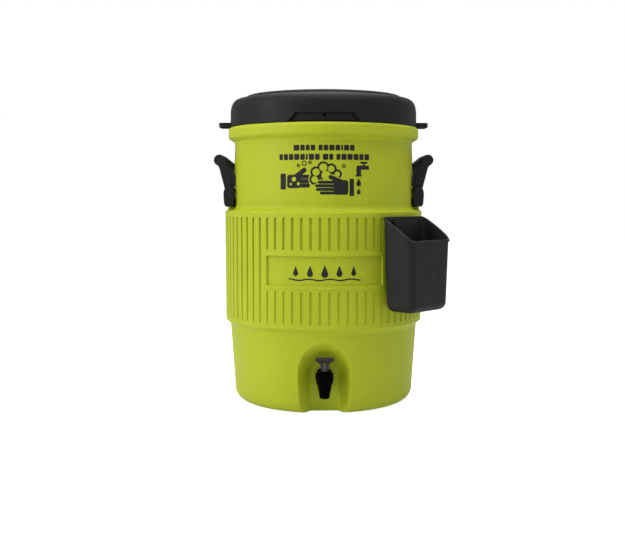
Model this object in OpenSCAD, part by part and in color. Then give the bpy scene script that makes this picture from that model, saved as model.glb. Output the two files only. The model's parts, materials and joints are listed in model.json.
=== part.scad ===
// Portable insulated hand-wash station. A foam-filled jug with a seat-top lid carries two
// swing handles, a lever tap in an alcove at the front and a lift-off soap and towel bin.
// Millimetres. Origin on the floor at the centre of the base. +Z is up and the front faces -Y.

/* [Jug] */
// Radius of the foot, above its rounded bottom edge
foot_r = 144.7; // [143:0.1:146]
// Radius of the lower body just under the ribbed band
waist_r = 152.5; // [151:0.1:154]
// Radius of the ribbed band at its lower edge
band_low_r = 159.8; // [159:0.1:160.5]
// Radius of the ribbed band at its upper edge
band_r = 161.3; // [160.8:0.1:162]
// Radius of the upper body just above the band
upper_r = 147.5; // [147:0.1:148]
// Radius of the rim round the mouth
rim_r = 156.1; // [155.5:0.1:157]
// Wall of the outer shell
wall = 3; // [2.5:0.1:3.2]

/* [Ribbed band] */
// Number of upright slots round the band
slot_count = 72; // [60:4:80]
// Width of one slot
slot_w = 3.5; // [2.5:0.1:4]
// Half angle of the raised label frame at the front
frame_half_angle = 35; // [33:0.5:36]
// Depth of the label panel inside its frame
panel_depth = 2.5; // [1:0.1:2.8]

/* [Tap] */
// Height of the tap's shank above the floor
shank_z = 54; // [53:0.5:55]
// Radius of the tap's shank
shank_r = 9; // [8:0.1:9.2]
// Lift of the valve stem when the lever is fully over
stem_travel = 4; // [3:0.1:4]

/* [Handles] */
// Radius of the grip bar
grip_r = 9; // [8:0.1:9.5]
// Radius of the handles' pivot rods
rod_r = 2.5; // [2:0.1:3]

/* [Bin] */
// Angle of the bin round the jug, from the front
bin_angle = 47; // [46:1:55]
// Width of the bin at its top
bin_w = 105; // [98:1:107]
// Wall of the bin
bin_wall = 2.2; // [1.8:0.1:2.4]

/* [Hidden] */

round_fn = 128;
gap = 0.1;            // air between two separate pieces that only touch
lime = "#A9B523";
black = "#2E2E2E";
jet = "#141414";
white = "#E8E8E4";
foam_colour = "#E9DFB4";
rubber = "#3A3A3A";
steel = "#B8B8B8";
stem_grey = "#777777";

// Heights of the jug's steps
foot_corner = 20;
band_z0 = 130;
band_z1 = 304;
shoulder_z = 314;
neck_z = 418;
rim_z0 = 425;
rim_z1 = 441.5;
neck_r = upper_r - 1.9;
band_wall = 5;

// Slots
slot_z0 = 137.3;
slot_z1 = 297.7;
slot_gap_z0 = 186.6;
slot_gap_z1 = 249.1;
slot_floor_r = band_low_r - 1.6;
frame_z0 = 189.7;
frame_z1 = 245.4;
frame_proud = 1;
panel_margin_z = 5.6;
panel_margin_angle = 2;

// Pads on the band's ledge, under the handle brackets
pad_half_angle = 15;
pad_r = upper_r + 9.5;
pad_z1 = 312.3;

// Tank
tank_wall = 2.5;
tank_z0 = 24;
tank_low_r = 113;
tank_top_r = 134;
mouth_r = 138.2;
flange_r = 145;
flange_z0 = rim_z1 + gap;
flange_z1 = 444;

// Alcove: an arch that narrows towards its back wall
alcove_back_y = -115;
alcove_back_r = 22;
alcove_back_z = 57;
alcove_mouth_y = -175;
alcove_mouth_r = 62;
alcove_mouth_z = 66;
foam_slot = 5;        // foam between the two walls behind the alcove
tank_back_y = alcove_back_y + wall + foam_slot + tank_wall;

// Foam filling hole
plug_y = 70;
plug_r = 8;
plug_head_r = 12;
plug_head_t = 1.2;

// Lid
lid_r = 152.9;
lid_wall = 3;
lid_z0 = rim_z1 + 0.2;
lid_side_z = 471;
lid_shoulder_r = 142;
lid_shoulder_z = 487.5;
seat_r = 128;
seat_z = 493;
notch_z = 455.5;
notch_low_half = 58.3;
notch_top_half = 44.2;
notch_floor_r = 148.9;
notch_back_r = 145.5;
tie_hole_z = 451.8;
tie_hole_r = 2.1;
tab_reach = 171.4;
tab_half_w = 20;
tab_z0 = 442;
tab_z1 = 450;
tab_wall = 2.6;
lid_gasket_in_r = 137;
lid_gasket_out_r = 143;
lid_gasket_z1 = 447;
lid_liner_r = 127.5;
lid_liner_wall = 2.5;
lid_liner_z = 424;
lid_liner_top_z = 449.6;

// Handles, given for the +X side
pivot_x = 151.8;
pivot_z = 337.3;
rod_play = 0.06;
arm_in_y = 34;
arm_out_y = 42;
ear_out_y = 50;
grip_x = 168.2;
grip_z = 388.1;
bracket_z0 = 312.6;
bracket_face_x = 148.2;
bracket_screw_y = 18;
bracket_screw_z = [318.5, 328.5];
bracket_plate_h = 29.4;
bridge_back_x = pivot_x - 7.4;
bridge_t = 5.6;
bridge_h = 13.4;
side_gap = 0.3;       // air between the arms and the ears
screw_r = 2;
screw_head_r = 4;
screw_head_h = 2.4;
screw_l = 12;
boss_r = 6;
boss_l = 11;

// Bin and its bracket, in a frame turned so that the bin faces -Y
plate_y = -(band_r + 3);
hook_gap = 0.4;       // air round the tongue and between bin and plate
bin_back_y = plate_y - hook_gap;
bin_depth = 55.6;
bin_z0 = 156;
bin_back_rim_z = 298.5;
bin_front_rim_z = 263.5;
bin_corner = 11;
bin_edge = 12;
bin_taper_w = 13.5;
bin_taper_depth = 2.3;
bin_bead = 1.8;       // how far the bead under the rim stands out
bin_bead_h = 3.2;
tongue_half = 25.5;
tongue_t = 3;
tongue_z0 = 250;
tongue_z1 = 282;
web_h = 4;
pocket_half = tongue_half + 1;
pocket_z0 = 208;
pocket_z1 = 290;
plate_z0 = 212;
plate_half = 28;
bin_screw_x = 12;
bin_screw_z = [221, 239];

// Tap, on its own upright axis
tap_y = -140;
spout_z = 25.5;
spout_bore_r = 5;
shank_bore_r = 5.5;
shank_inside = 16;    // length of the shank inside the tank
body_top_r = 13.2;
seat_ring_z = 44;
chamber_r = 8.6;
chamber_z = 62.5;
bonnet_low_z = 60.2;
bonnet_top_z = 66;
stem_foot_z = 47.2;
stem_foot_r = 6;
stem_foot_t = 1.4;
stem_eye_r = 3.6;
seat_cup_r = 7.2;
spring_r = 4.2;
spring_wire_r = 0.45;
spring_turns = 5;
stem_r = 2.4;
lever_pivot_z = 72;
lever_pin_r = 1.5;
lever_full_tilt = 35;
cam_offset = stem_travel / sin(lever_full_tilt);
cam_r = lever_pivot_z - bonnet_top_z - 0.2;
fork_in = 3;
fork_out = 6.6;
collar_r = 14;
gasket_t = 2.3;
collar_t = 3.4;
nut_r = 14.5;
nut_t = 8;

// Points of an arc of radius r round (cx, cy), from angle a0 to a1 in n steps
function arc(cx, cy, r, a0, a1, n) =
    [for (i = [0:n]) let (a = a0 + (a1 - a0) * i / n) [cx + r * cos(a), cy + r * sin(a)]];

// Radius of the band's surface at height z
function band_radius(z) = band_low_r + (band_r - band_low_r) * (z - band_z0) / (band_z1 - band_z0);

// Outer outline of the jug, as radius and height
function shell_outline() = concat(
    [[0, 0]],
    arc(foot_r - foot_corner, foot_corner, foot_corner, -90, -4, 8),
    [
        [waist_r, band_z0 - 6.5], [band_low_r, band_z0], [band_r, band_z1],
        [band_r - 1.5, band_z1 + 2], [upper_r + 4.5, shoulder_z - 5.2],
        [upper_r + 1.1, shoulder_z - 3], [upper_r, shoulder_z],
        [neck_r, neck_z], [rim_r - 1.5, rim_z0 - 2.2], [rim_r, rim_z0],
        [rim_r, rim_z1 - 4.5], [rim_r - 1.3, rim_z1 - 1.3], [rim_r - 4, rim_z1], [0, rim_z1]
    ]
);

// Outline of the shell's hollow, drawn back by d
function cavity_outline(d) = concat(
    [[0, wall + d]],
    arc(foot_r - foot_corner, foot_corner, foot_corner - wall - d, -90, -4, 8),
    [
        [waist_r - wall - d, band_z0 - 4], [band_low_r - band_wall - d, band_z0 + 2.5],
        [band_r - band_wall - d, band_z1 - 2], [upper_r + 2 - d, shoulder_z - 9],
        [upper_r - wall + 0.1 - d, shoulder_z - 4], [neck_r - wall - d, neck_z + 2.5],
        [rim_r - wall - 0.2 - d, rim_z0 + 0.3], [rim_r - wall - 0.2 - d, rim_z1 - wall - d],
        [0, rim_z1 - wall - d]
    ]
);

// Outline of the tank, grown by g
function tank_outline(g, z_top) = [
    [0, tank_z0 - g], [tank_low_r - 4 + g, tank_z0 - g], [tank_low_r + g, tank_z0 + 4 - g],
    [tank_top_r + g, rim_z1], [tank_top_r + g, z_top], [0, z_top]
];

module revolve(points) {
    rotate_extrude($fn = round_fn) polygon(points);
}

// Flat shape drawn in X and Z, thickened by t about the y given
module upright_plate(y, t) {
    translate([0, y, 0]) rotate([90, 0, 0]) linear_extrude(t, center = true) children();
}

// Round bar along Y
module bar_y(r, y0, y1) {
    translate([0, y1, 0]) rotate([90, 0, 0]) cylinder(r = r, h = y1 - y0, $fn = 48);
}

// Round bar along X
module bar_x(r, x0, x1) {
    translate([x0, 0, 0]) rotate([0, 90, 0]) cylinder(r = r, h = x1 - x0, $fn = 48);
}

// ---- Jug ----

module alcove_section(y, r, z) {
    upright_plate(y, 0.02) {
        translate([0, z]) circle(r, $fn = 48);
        translate([-r, -2]) square([2 * r, z + 2]);
    }
}

// Space of the spigot alcove, with its walls moved into the jug by d
module alcove(d) {
    hull() {
        alcove_section(alcove_back_y + d, alcove_back_r + d, alcove_back_z);
        alcove_section(alcove_mouth_y + d, alcove_mouth_r + d, alcove_mouth_z);
    }
}

module shank_hole() {
    translate([0, 0, shank_z]) bar_y(shank_r + 0.3, alcove_back_y - 1, tank_back_y + 1);
}

// Where the bracket screws run: x is outwards on the +X side
module at_handle_screws() {
    for (side = [0, 1]) mirror([side, 0, 0])
        for (y = [-bracket_screw_y, bracket_screw_y], z = bracket_screw_z)
            translate([bracket_face_x, y, z]) rotate([0, 90, 0]) children();
}

module at_bin_screws() {
    rotate([0, 0, bin_angle])
        for (x = [-bin_screw_x, bin_screw_x], z = bin_screw_z)
            translate([x, plate_y, z]) rotate([90, 0, 0]) children();
}

// Posts inside the shell that the screws bite in, with r and length grown by d
module screw_bosses(d) {
    at_handle_screws() translate([0, 0, -boss_l - wall - d])
        cylinder(r = boss_r + d, h = boss_l + d, $fn = 32);
    at_bin_screws() translate([0, 0, -boss_l - 2 * wall - d])
        cylinder(r = boss_r + d, h = boss_l + d, $fn = 32);
}

module pilot_holes() {
    at_handle_screws() translate([0, 0, -screw_l - 0.5]) cylinder(r = screw_r + 0.05, h = 20, $fn = 24);
    at_bin_screws() translate([0, 0, -screw_l - 0.5]) cylinder(r = screw_r + 0.05, h = 20, $fn = 24);
}

module slot(z0, z1) {
    translate([0, -slot_floor_r, 0]) rotate([90, 0, 0]) linear_extrude(10) {
        translate([-slot_w / 2, z0 + slot_w / 2]) square([slot_w, z1 - z0 - slot_w]);
        for (z = [z0 + slot_w / 2, z1 - slot_w / 2]) translate([0, z]) circle(slot_w / 2, $fn = 16);
    }
}

module slots() {
    pitch = 360 / slot_count;
    for (i = [0:slot_count - 1]) {
        turn = (i + 0.5) * pitch;
        off_front = min(turn, 360 - turn);
        rotate([0, 0, turn])
            if (off_front < frame_half_angle) {
                slot(slot_z0, slot_gap_z0);
                slot(slot_gap_z1, slot_z1);
            } else {
                slot(slot_z0, slot_z1);
            }
    }
}

// Part of a ring at the front of the band
module front_sector(r0, r1, z0, z1, half_angle) {
    rotate([0, 0, -90 - half_angle])
        rotate_extrude(angle = 2 * half_angle, $fn = round_fn)
            translate([r0, z0]) square([r1 - r0, z1 - z0]);
}

module bracket_pad() {
    rotate([0, 0, -pad_half_angle])
        rotate_extrude(angle = 2 * pad_half_angle, $fn = round_fn)
            polygon([
                [upper_r - 1, band_z1], [band_r - 1, band_z1], [band_r - 1, band_z1 + 2],
                [pad_r, pad_z1 - 1], [pad_r - 1, pad_z1], [upper_r - 1, pad_z1]
            ]);
}

module outer_shell() {
    color(lime)
    difference() {
        union() {
            revolve(shell_outline());
            for (turn = [0, 180]) rotate([0, 0, turn]) bracket_pad();
            front_sector(band_low_r - 3, band_r + frame_proud, frame_z0, frame_z1, frame_half_angle);
        }
        alcove(0);
        difference() {
            revolve(cavity_outline(0));
            alcove(wall);
            screw_bosses(0);
        }
        translate([0, 0, rim_z1 - wall - 1]) cylinder(r = mouth_r, h = wall + 2, $fn = round_fn);
        slots();
        front_sector(band_low_r - panel_depth, band_r + 5, frame_z0 + panel_margin_z,
            frame_z1 - panel_margin_z, frame_half_angle - panel_margin_angle);
        shank_hole();
        pilot_holes();
        translate([0, plug_y, -1]) cylinder(r = plug_r, h = wall + 2, $fn = 48);
        translate([0, plug_y, -1]) cylinder(r = plug_head_r, h = 1 + plug_head_t, $fn = 48);
    }
}

module foam_insulation() {
    color(foam_colour)
    difference() {
        revolve(cavity_outline(gap));
        alcove(wall + gap);
        difference() {
            revolve(tank_outline(gap, rim_z1));
            alcove(wall + foam_slot - gap);
        }
        screw_bosses(gap);
        shank_hole();
        translate([0, plug_y, 0]) cylinder(r = plug_r, h = 6.2, $fn = 48);
    }
}

module inner_liner() {
    color(white)
    difference() {
        union() {
            revolve(tank_outline(0, flange_z1));
            translate([0, 0, flange_z0]) cylinder(r = flange_r, h = flange_z1 - flange_z0, $fn = round_fn);
        }
        alcove(wall + foam_slot);
        difference() {
            translate([0, 0, tank_wall])
                revolve([
                    [0, tank_z0], [tank_low_r - tank_wall - 4, tank_z0],
                    [tank_low_r - tank_wall, tank_z0 + 4],
                    [tank_top_r - tank_wall, rim_z1], [tank_top_r - tank_wall, rim_z1 + 9], [0, rim_z1 + 9]
                ]);
            alcove(wall + foam_slot + tank_wall);
        }
        shank_hole();
    }
}

module foam_fill_plug() {
    color(lime)
    translate([0, plug_y, 0]) {
        translate([0, 0, 0.2]) cylinder(r = plug_head_r - gap, h = plug_head_t - 0.3, $fn = 48);
        translate([0, 0, 0.2]) cylinder(r = plug_r - gap, h = 5.8, $fn = 48);
    }
}

// ---- Lid ----

module notch_prism(d) {
    upright_plate(-150, 40)
        polygon([
            [-notch_low_half - d, lid_z0 - 2], [notch_low_half + d, lid_z0 - 2],
            [notch_top_half + d, notch_z + d], [-notch_top_half - d, notch_z + d]
        ]);
}

module disc(r, z0, z1) {
    translate([0, 0, z0]) cylinder(r = r, h = z1 - z0, $fn = round_fn);
}

module lid_tab() {
    root_x = lid_r - 2;
    tab_l = tab_reach - root_x;
    translate([root_x, -tab_half_w, tab_z1 - tab_wall]) cube([tab_l, 2 * tab_half_w, tab_wall]);
    translate([tab_reach - tab_wall, -tab_half_w, tab_z0]) cube([tab_wall, 2 * tab_half_w, tab_z1 - tab_z0]);
    for (y = [-tab_half_w, tab_half_w - tab_wall])
        translate([root_x, y, tab_z0 + 1.5]) cube([tab_l, tab_wall, tab_z1 - tab_z0 - 1.5]);
}

// Hollow under the lid's skin
module lid_hollow(d) {
    revolve([
        [0, lid_z0 - 1], [lid_r - lid_wall - d, lid_z0 - 1], [lid_r - lid_wall - d, lid_side_z - d],
        [lid_r - lid_wall - 4 - d, lid_side_z + 8 - d], [lid_shoulder_r - d, lid_shoulder_z - lid_wall - d],
        [seat_r - lid_wall - d, lid_shoulder_z - lid_wall - d],
        [seat_r - lid_wall - d, seat_z - lid_wall - d], [0, seat_z - lid_wall - d]
    ]);
}

module lid_cap() {
    color(black)
    difference() {
        union() {
            revolve([
                [0, lid_z0], [lid_r, lid_z0], [lid_r, lid_side_z], [lid_r - 1.8, lid_side_z + 6.8],
                [lid_r - 4.9, lid_side_z + 11.7], [lid_shoulder_r + 0.3, lid_shoulder_z - 1],
                [lid_shoulder_r - 3, lid_shoulder_z], [seat_r + 1.5, lid_shoulder_z],
                [seat_r, seat_z - 1.5], [seat_r - 1.5, seat_z], [0, seat_z]
            ]);
            for (side = [0, 1]) mirror([side, 0, 0]) lid_tab();
        }
        difference() {
            lid_hollow(0);
            intersection() {
                notch_prism(lid_wall);
                difference() {
                    disc(lid_r, lid_z0 - 1, notch_z + lid_wall);
                    disc(notch_back_r, lid_z0 - 2, notch_z + lid_wall + 1);
                }
            }
        }
        difference() {
            notch_prism(0);
            disc(notch_floor_r, lid_z0 - 3, notch_z + 1);
        }
        translate([0, 0, tie_hole_z]) bar_y(tie_hole_r, -lid_r - 1, -notch_back_r + 1.5);
    }
}

module lid_liner() {
    color(white)
    difference() {
        union() {
            disc(flange_r, lid_gasket_z1 + gap, lid_liner_top_z);
            disc(lid_liner_r, lid_liner_z, lid_liner_top_z);
        }
        disc(lid_liner_r - lid_liner_wall, lid_liner_z + lid_liner_wall, lid_liner_top_z + 1);
    }
}

module lid_foam() {
    color(foam_colour) {
        difference() {
            lid_hollow(gap);
            disc(lid_r, lid_z0 - 2, notch_z + lid_wall + gap);
        }
        disc(flange_r, lid_liner_top_z + gap, notch_z + lid_wall + 0.5);
        disc(lid_liner_r - lid_liner_wall - gap, lid_liner_z + lid_liner_wall + gap, lid_liner_top_z + 1);
    }
}

module lid_gasket() {
    color(rubber)
    difference() {
        disc(lid_gasket_out_r, flange_z1 + gap, lid_gasket_z1);
        disc(lid_gasket_in_r, flange_z1, lid_gasket_z1 + 1);
    }
}

// ---- Handles, built for the +X side ----

module arm_outline() {
    polygon([
        [pivot_x - 5.2, pivot_z + 5.9], [pivot_x - 11.2, pivot_z + 11.3],
        [pivot_x - 10.7, pivot_z + 21.3], [pivot_x - 1.9, pivot_z + 48.1],
        [pivot_x + 6.7, pivot_z + 54.3], [grip_x - 5, grip_z + 7.4], [grip_x, grip_z],
        [grip_x + 6.3, grip_z - 6.3], [grip_x + 0.5, grip_z - 11.1],
        [pivot_x + 7.7, pivot_z + 4.8], [pivot_x, pivot_z]
    ]);
    translate([pivot_x, pivot_z]) circle(7.4, $fn = 48);
}

module handle() {
    difference() {
        union() {
            for (side = [-1, 1]) upright_plate(side * (arm_in_y + arm_out_y) / 2, arm_out_y - arm_in_y)
                arm_outline();
            translate([grip_x, 0, grip_z]) bar_y(grip_r, -arm_out_y, arm_out_y);
            upright_plate(0, 2 * arm_in_y)
                polygon([
                    [pivot_x - 1.9, pivot_z + 48.1], [pivot_x + 6.7, pivot_z + 54.3],
                    [grip_x - 4, grip_z + 7], [grip_x, grip_z], [pivot_x + 7.5, pivot_z + 51],
                    [pivot_x - 0.9, pivot_z + 45.2]
                ]);
        }
        cylinder(r = upper_r + 0.4, h = grip_z + 40, $fn = round_fn);
        translate([pivot_x, 0, pivot_z]) bar_y(rod_r + rod_play, -arm_out_y - 1, arm_out_y + 1);
    }
}

module ear_outline() {
    polygon([
        [pivot_x - 7.4, bracket_z0], [pivot_x + 6.2, bracket_z0 + 0.6], [pivot_x + 8.1, bracket_z0 + 5.4],
        [pivot_x + 8.9, pivot_z - 3], [pivot_x, pivot_z], [pivot_x - 8.3, pivot_z - 3]
    ]);
    translate([pivot_x + 0.3, pivot_z - 1.7]) circle(9, $fn = 48);
}

module handle_bracket() {
    mid_y = (arm_out_y + side_gap + ear_out_y) / 2;
    difference() {
        union() {
            for (side = [-1, 1]) upright_plate(side * mid_y, ear_out_y - arm_out_y - side_gap) ear_outline();
            translate([bridge_back_x, -arm_out_y - 1, bracket_z0])
                cube([bridge_t, 2 * arm_out_y + 2, bridge_h]);
            translate([pivot_x - 9, -arm_in_y + 1.7, bracket_z0])
                cube([bracket_face_x - pivot_x + 9, 2 * arm_in_y - 3.4, bracket_plate_h]);
        }
        translate([0, 0, shoulder_z])
            cylinder(r1 = upper_r + gap, r2 = upper_r + gap - 0.55, h = 30, $fn = round_fn);
        cylinder(r = upper_r + 1.8, h = shoulder_z, $fn = round_fn);
        translate([pivot_x, 0, pivot_z]) bar_y(rod_r + 0.02, -ear_out_y + 2.8, ear_out_y + 1);
        for (y = [-bracket_screw_y, bracket_screw_y], z = bracket_screw_z)
            translate([0, y, z]) {
                bar_x(screw_r + 0.2, pivot_x - 12, pivot_x);
                bar_x(screw_head_r + 0.3, bracket_face_x, pivot_x);
            }
    }
}

module handle_pin() {
    translate([pivot_x, 0, pivot_z]) bar_y(rod_r, -ear_out_y + 3, ear_out_y - 0.2);
}

module left_handle() { color(black) mirror([1, 0, 0]) handle(); }
module left_handle_bracket() { color(black) mirror([1, 0, 0]) handle_bracket(); }
module left_handle_pin() { color(steel) mirror([1, 0, 0]) handle_pin(); }
module right_handle() { color(black) handle(); }
module right_handle_bracket() { color(black) handle_bracket(); }
module right_handle_pin() { color(steel) handle_pin(); }

module handle_screws() {
    color(steel)
    at_handle_screws() {
        translate([0, 0, -screw_l]) cylinder(r = screw_r, h = screw_l + gap, $fn = 24);
        translate([0, 0, gap]) difference() {
            cylinder(r1 = screw_head_r, r2 = screw_head_r - 0.6, h = screw_head_h, $fn = 32);
            for (turn = [0, 90]) rotate([0, 0, turn])
                translate([-2.2, -0.5, screw_head_h - 1.2]) cube([4.4, 1, 2]);
        }
    }
}

// ---- Bin, drawn facing -Y and then turned round the jug ----

module bin_slab(z, w, depth, corner) {
    translate([0, bin_back_y - depth / 2, z]) linear_extrude(0.05)
        offset(r = corner, $fn = 32) square([w - 2 * corner, depth - 2 * corner], center = true);
}

// Tapered form with rounded bottom edges, drawn back by d on all sides
module bin_form(d) {
    lift = bin_edge - d;
    translate([0, -d, 0]) hull() {
        bin_slab(bin_back_rim_z + 6, bin_w - 2 * d, bin_depth + 0.2 - 2 * d, bin_corner - d);
        for (a = [0, 30, 60, 90]) {
            tuck = lift * (1 - cos(a));
            bin_slab(bin_z0 + bin_edge - lift * sin(a), bin_w - bin_taper_w - 2 * (d + tuck),
                bin_depth - bin_taper_depth - 2 * (d + tuck), max(bin_corner - d - tuck, 2));
        }
    }
}

module above_bin_rim() {
    rotate([90, 0, 90]) linear_extrude(2 * bin_w, center = true)
        polygon([
            [bin_back_y + 20, bin_back_rim_z], [bin_back_y - 3, bin_back_rim_z],
            [bin_back_y - bin_depth, bin_front_rim_z], [bin_back_y - bin_depth - 20, bin_front_rim_z - 1],
            [bin_back_y - bin_depth - 20, bin_back_rim_z + 40], [bin_back_y + 20, bin_back_rim_z + 40]
        ]);
}

// Bead round the front and sides of the rim
module bin_rim_bead() {
    intersection() {
        bin_form(-bin_bead);
        translate([0, 0, -bin_bead_h]) above_bin_rim();
        translate([-bin_w, bin_back_y - 2 * bin_w, bin_z0]) cube([2 * bin_w, 2 * bin_w, 200]);
    }
}

module bin() {
    pocket_y = bin_back_y - bin_wall - tongue_t - 1;
    color(black)
    rotate([0, 0, bin_angle])
    difference() {
        union() {
            bin_form(0);
            bin_rim_bead();
        }
        difference() {
            bin_form(bin_wall);
            translate([-pocket_half - bin_wall, pocket_y - bin_wall, pocket_z0 - bin_wall])
                cube([2 * (pocket_half + bin_wall), 20, pocket_z1 - pocket_z0 + 2 * bin_wall]);
        }
        translate([-pocket_half, pocket_y, pocket_z0])
            cube([2 * pocket_half, bin_back_y - bin_wall - pocket_y, pocket_z1 - pocket_z0]);
        translate([-pocket_half, bin_back_y - bin_wall - 1, pocket_z0])
            cube([2 * pocket_half, 20, tongue_z0 + web_h + gap - pocket_z0]);
        above_bin_rim();
    }
}

module bin_bracket() {
    tongue_y = bin_back_y - bin_wall - hook_gap - tongue_t;
    color(black)
    difference() {
        rotate([0, 0, bin_angle]) {
            translate([-plate_half, plate_y, plate_z0]) cube([2 * plate_half, 14, tongue_z0 + 12 - plate_z0]);
            translate([-tongue_half, tongue_y, tongue_z0])
                cube([2 * tongue_half, plate_y - tongue_y + 1, web_h]);
            translate([-tongue_half, tongue_y, tongue_z0])
                cube([2 * tongue_half, tongue_t, tongue_z1 - tongue_z0]);
        }
        translate([0, 0, plate_z0 - 10])
            cylinder(r1 = band_radius(plate_z0 - 10) + gap, r2 = band_radius(plate_z0 + 60) + gap, h = 70,
                $fn = round_fn);
        at_bin_screws() translate([0, 0, -20]) cylinder(r = screw_r + 0.2, h = 30, $fn = 24);
        at_bin_screws() translate([0, 0, -2]) cylinder(r1 = screw_r + 0.2, r2 = screw_head_r + 0.2, h = 2.01);
    }
}

module bin_bracket_screws() {
    color(steel)
    at_bin_screws() difference() {
        union() {
            translate([0, 0, -screw_l]) cylinder(r = screw_r, h = screw_l - 0.3, $fn = 24);
            translate([0, 0, -1.9]) cylinder(r1 = screw_r, r2 = screw_head_r, h = 1.8, $fn = 32);
        }
        for (turn = [0, 90]) rotate([0, 0, turn]) translate([-2, -0.45, -1]) cube([4, 0.9, 2]);
    }
}

// ---- Tap ----

module on_tap_axis() {
    translate([0, tap_y, 0]) children();
}

module tap_disc(r, z0, z1) {
    on_tap_axis() translate([0, 0, z0]) cylinder(r = r, h = z1 - z0, $fn = 64);
}

module spigot_body() {
    collar_y = alcove_back_y - gasket_t - gap;
    color(jet)
    difference() {
        union() {
            on_tap_axis() revolve([
                [0, spout_z], [6.9, spout_z], [7.8, spout_z + 1.2], [10.9, 46], [12.6, 50.5],
                [13.4, 58], [body_top_r, chamber_z], [0, chamber_z]
            ]);
            translate([0, 0, shank_z]) bar_y(shank_r, tap_y + 4, tank_back_y + shank_inside);
            translate([0, 0, shank_z]) bar_y(collar_r, collar_y - collar_t, collar_y);
        }
        tap_disc(spout_bore_r, spout_z - 1, seat_ring_z + 1);
        tap_disc(chamber_r, seat_ring_z, chamber_z + 1);
        tap_disc(body_top_r + 0.2, chamber_z, shank_z + shank_r + 1);
        translate([0, 0, shank_z]) bar_y(shank_bore_r, tap_y, tank_back_y + shank_inside + 1);
    }
}

module spigot_bonnet() {
    color(jet)
    on_tap_axis()
        revolve([
            [stem_r + 0.06, bonnet_low_z], [chamber_r - gap, bonnet_low_z],
            [chamber_r - gap, chamber_z + gap],
            [body_top_r - 0.2, chamber_z + gap], [12.4, 64], [8, bonnet_top_z],
            [stem_r + 0.06, bonnet_top_z]
        ]);
}

module spigot_stem() {
    color(stem_grey)
    difference() {
        union() {
            tap_disc(stem_r, stem_foot_z, lever_pivot_z);
            tap_disc(stem_foot_r, stem_foot_z, stem_foot_z + stem_foot_t);
            on_tap_axis() translate([0, 0, lever_pivot_z]) bar_x(stem_eye_r, -fork_in + 0.2, fork_in - 0.2);
        }
        on_tap_axis() translate([0, 0, lever_pivot_z]) bar_x(lever_pin_r + 0.05, -fork_in, fork_in);
    }
}

module spigot_seat_cup() {
    color(rubber) tap_disc(seat_cup_r, seat_ring_z + 0.05, stem_foot_z - gap);
}

// Wire coil as one closed skin: rings of points along the helix, joined by quads
module coil(r, wire_r, z0, z1, turns) {
    rings = 20 * turns;
    sides = 8;
    points = [for (i = [0:rings], j = [0:sides - 1])
        let (t = 360 * i / 20, a = 360 * j / sides, rad = r + wire_r * cos(a))
        [rad * cos(t), rad * sin(t), z0 + (z1 - z0) * i / rings + wire_r * sin(a)]];
    skin = [for (i = [0:rings - 1], j = [0:sides - 1])
        [i * sides + j, i * sides + (j + 1) % sides, (i + 1) * sides + (j + 1) % sides, (i + 1) * sides + j]];
    ends = [[for (j = [0:sides - 1]) sides - 1 - j], [for (j = [0:sides - 1]) rings * sides + j]];
    polyhedron(points, concat(skin, ends));
}

module spigot_spring() {
    low_z = stem_foot_z + stem_foot_t + gap + spring_wire_r;
    high_z = bonnet_low_z - gap - spring_wire_r;
    color(steel) on_tap_axis() coil(spring_r, spring_wire_r, low_z, high_z, spring_turns);
}

module lever_side_outline() {
    translate([-cam_offset, 0]) circle(cam_r, $fn = 48);
    circle(4.4, $fn = 48);
    polygon([[-cam_offset, 0], [0, -4], [4.2, 1], [2.5, 8], [-6, 8], [-cam_offset - 5, 3]]);
}

module spigot_lever() {
    color(black)
    on_tap_axis() translate([0, 0, lever_pivot_z]) difference() {
        union() {
            for (x = [-fork_out, fork_in])
                translate([x, 0, 0]) rotate([90, 0, 90])
                    linear_extrude(fork_out - fork_in) lever_side_outline();
            translate([0, -1.2, 0]) rotate([90, 0, 0]) linear_extrude(4.4)
                polygon([[-7, 6], [7, 6], [14, 11], [14, 15], [-14, 15], [-14, 11]]);
        }
        bar_x(lever_pin_r + 0.02, -fork_out - 1, fork_out + 1);
    }
}

module spigot_lever_pin() {
    color(steel)
    on_tap_axis() translate([0, 0, lever_pivot_z]) bar_x(lever_pin_r, -fork_out + 0.1, fork_out - 0.1);
}

module spigot_nut() {
    color(white)
    difference() {
        translate([0, tank_back_y + gasket_t + 0.3 + nut_t, shank_z]) rotate([90, 0, 0])
            cylinder(r = nut_r, h = nut_t, $fn = 6);
        translate([0, 0, shank_z]) bar_y(shank_r + 0.05, tank_back_y, tank_back_y + 20);
    }
}

// Flat sealing washer on the shank, between y0 and y1
module shank_washer(y0, y1) {
    translate([0, 0, shank_z]) difference() {
        bar_y(collar_r - 0.5, y0, y1);
        bar_y(shank_r + 0.1, y0 - 1, y1 + 1);
    }
}

module spigot_outer_gasket() {
    color(rubber) shank_washer(alcove_back_y - gasket_t, alcove_back_y - 0.05);
}

module spigot_inner_gasket() {
    color(rubber) shank_washer(tank_back_y + 0.05, tank_back_y + gasket_t);
}

outer_shell();
foam_insulation();
inner_liner();
foam_fill_plug();
lid_cap();
lid_foam();
lid_liner();
lid_gasket();
left_handle();
left_handle_bracket();
left_handle_pin();
right_handle();
right_handle_bracket();
right_handle_pin();
handle_screws();
bin();
bin_bracket();
bin_bracket_screws();
spigot_body();
spigot_bonnet();
spigot_stem();
spigot_seat_cup();
spigot_spring();
spigot_lever();
spigot_lever_pin();
spigot_nut();
spigot_outer_gasket();
spigot_inner_gasket();
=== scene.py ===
"""Looks of the portable hand-wash station: moulded surfaces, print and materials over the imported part."""
import bpy
import bmesh
import json
import math
import numpy as np
from mathutils import Matrix, Vector


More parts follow.
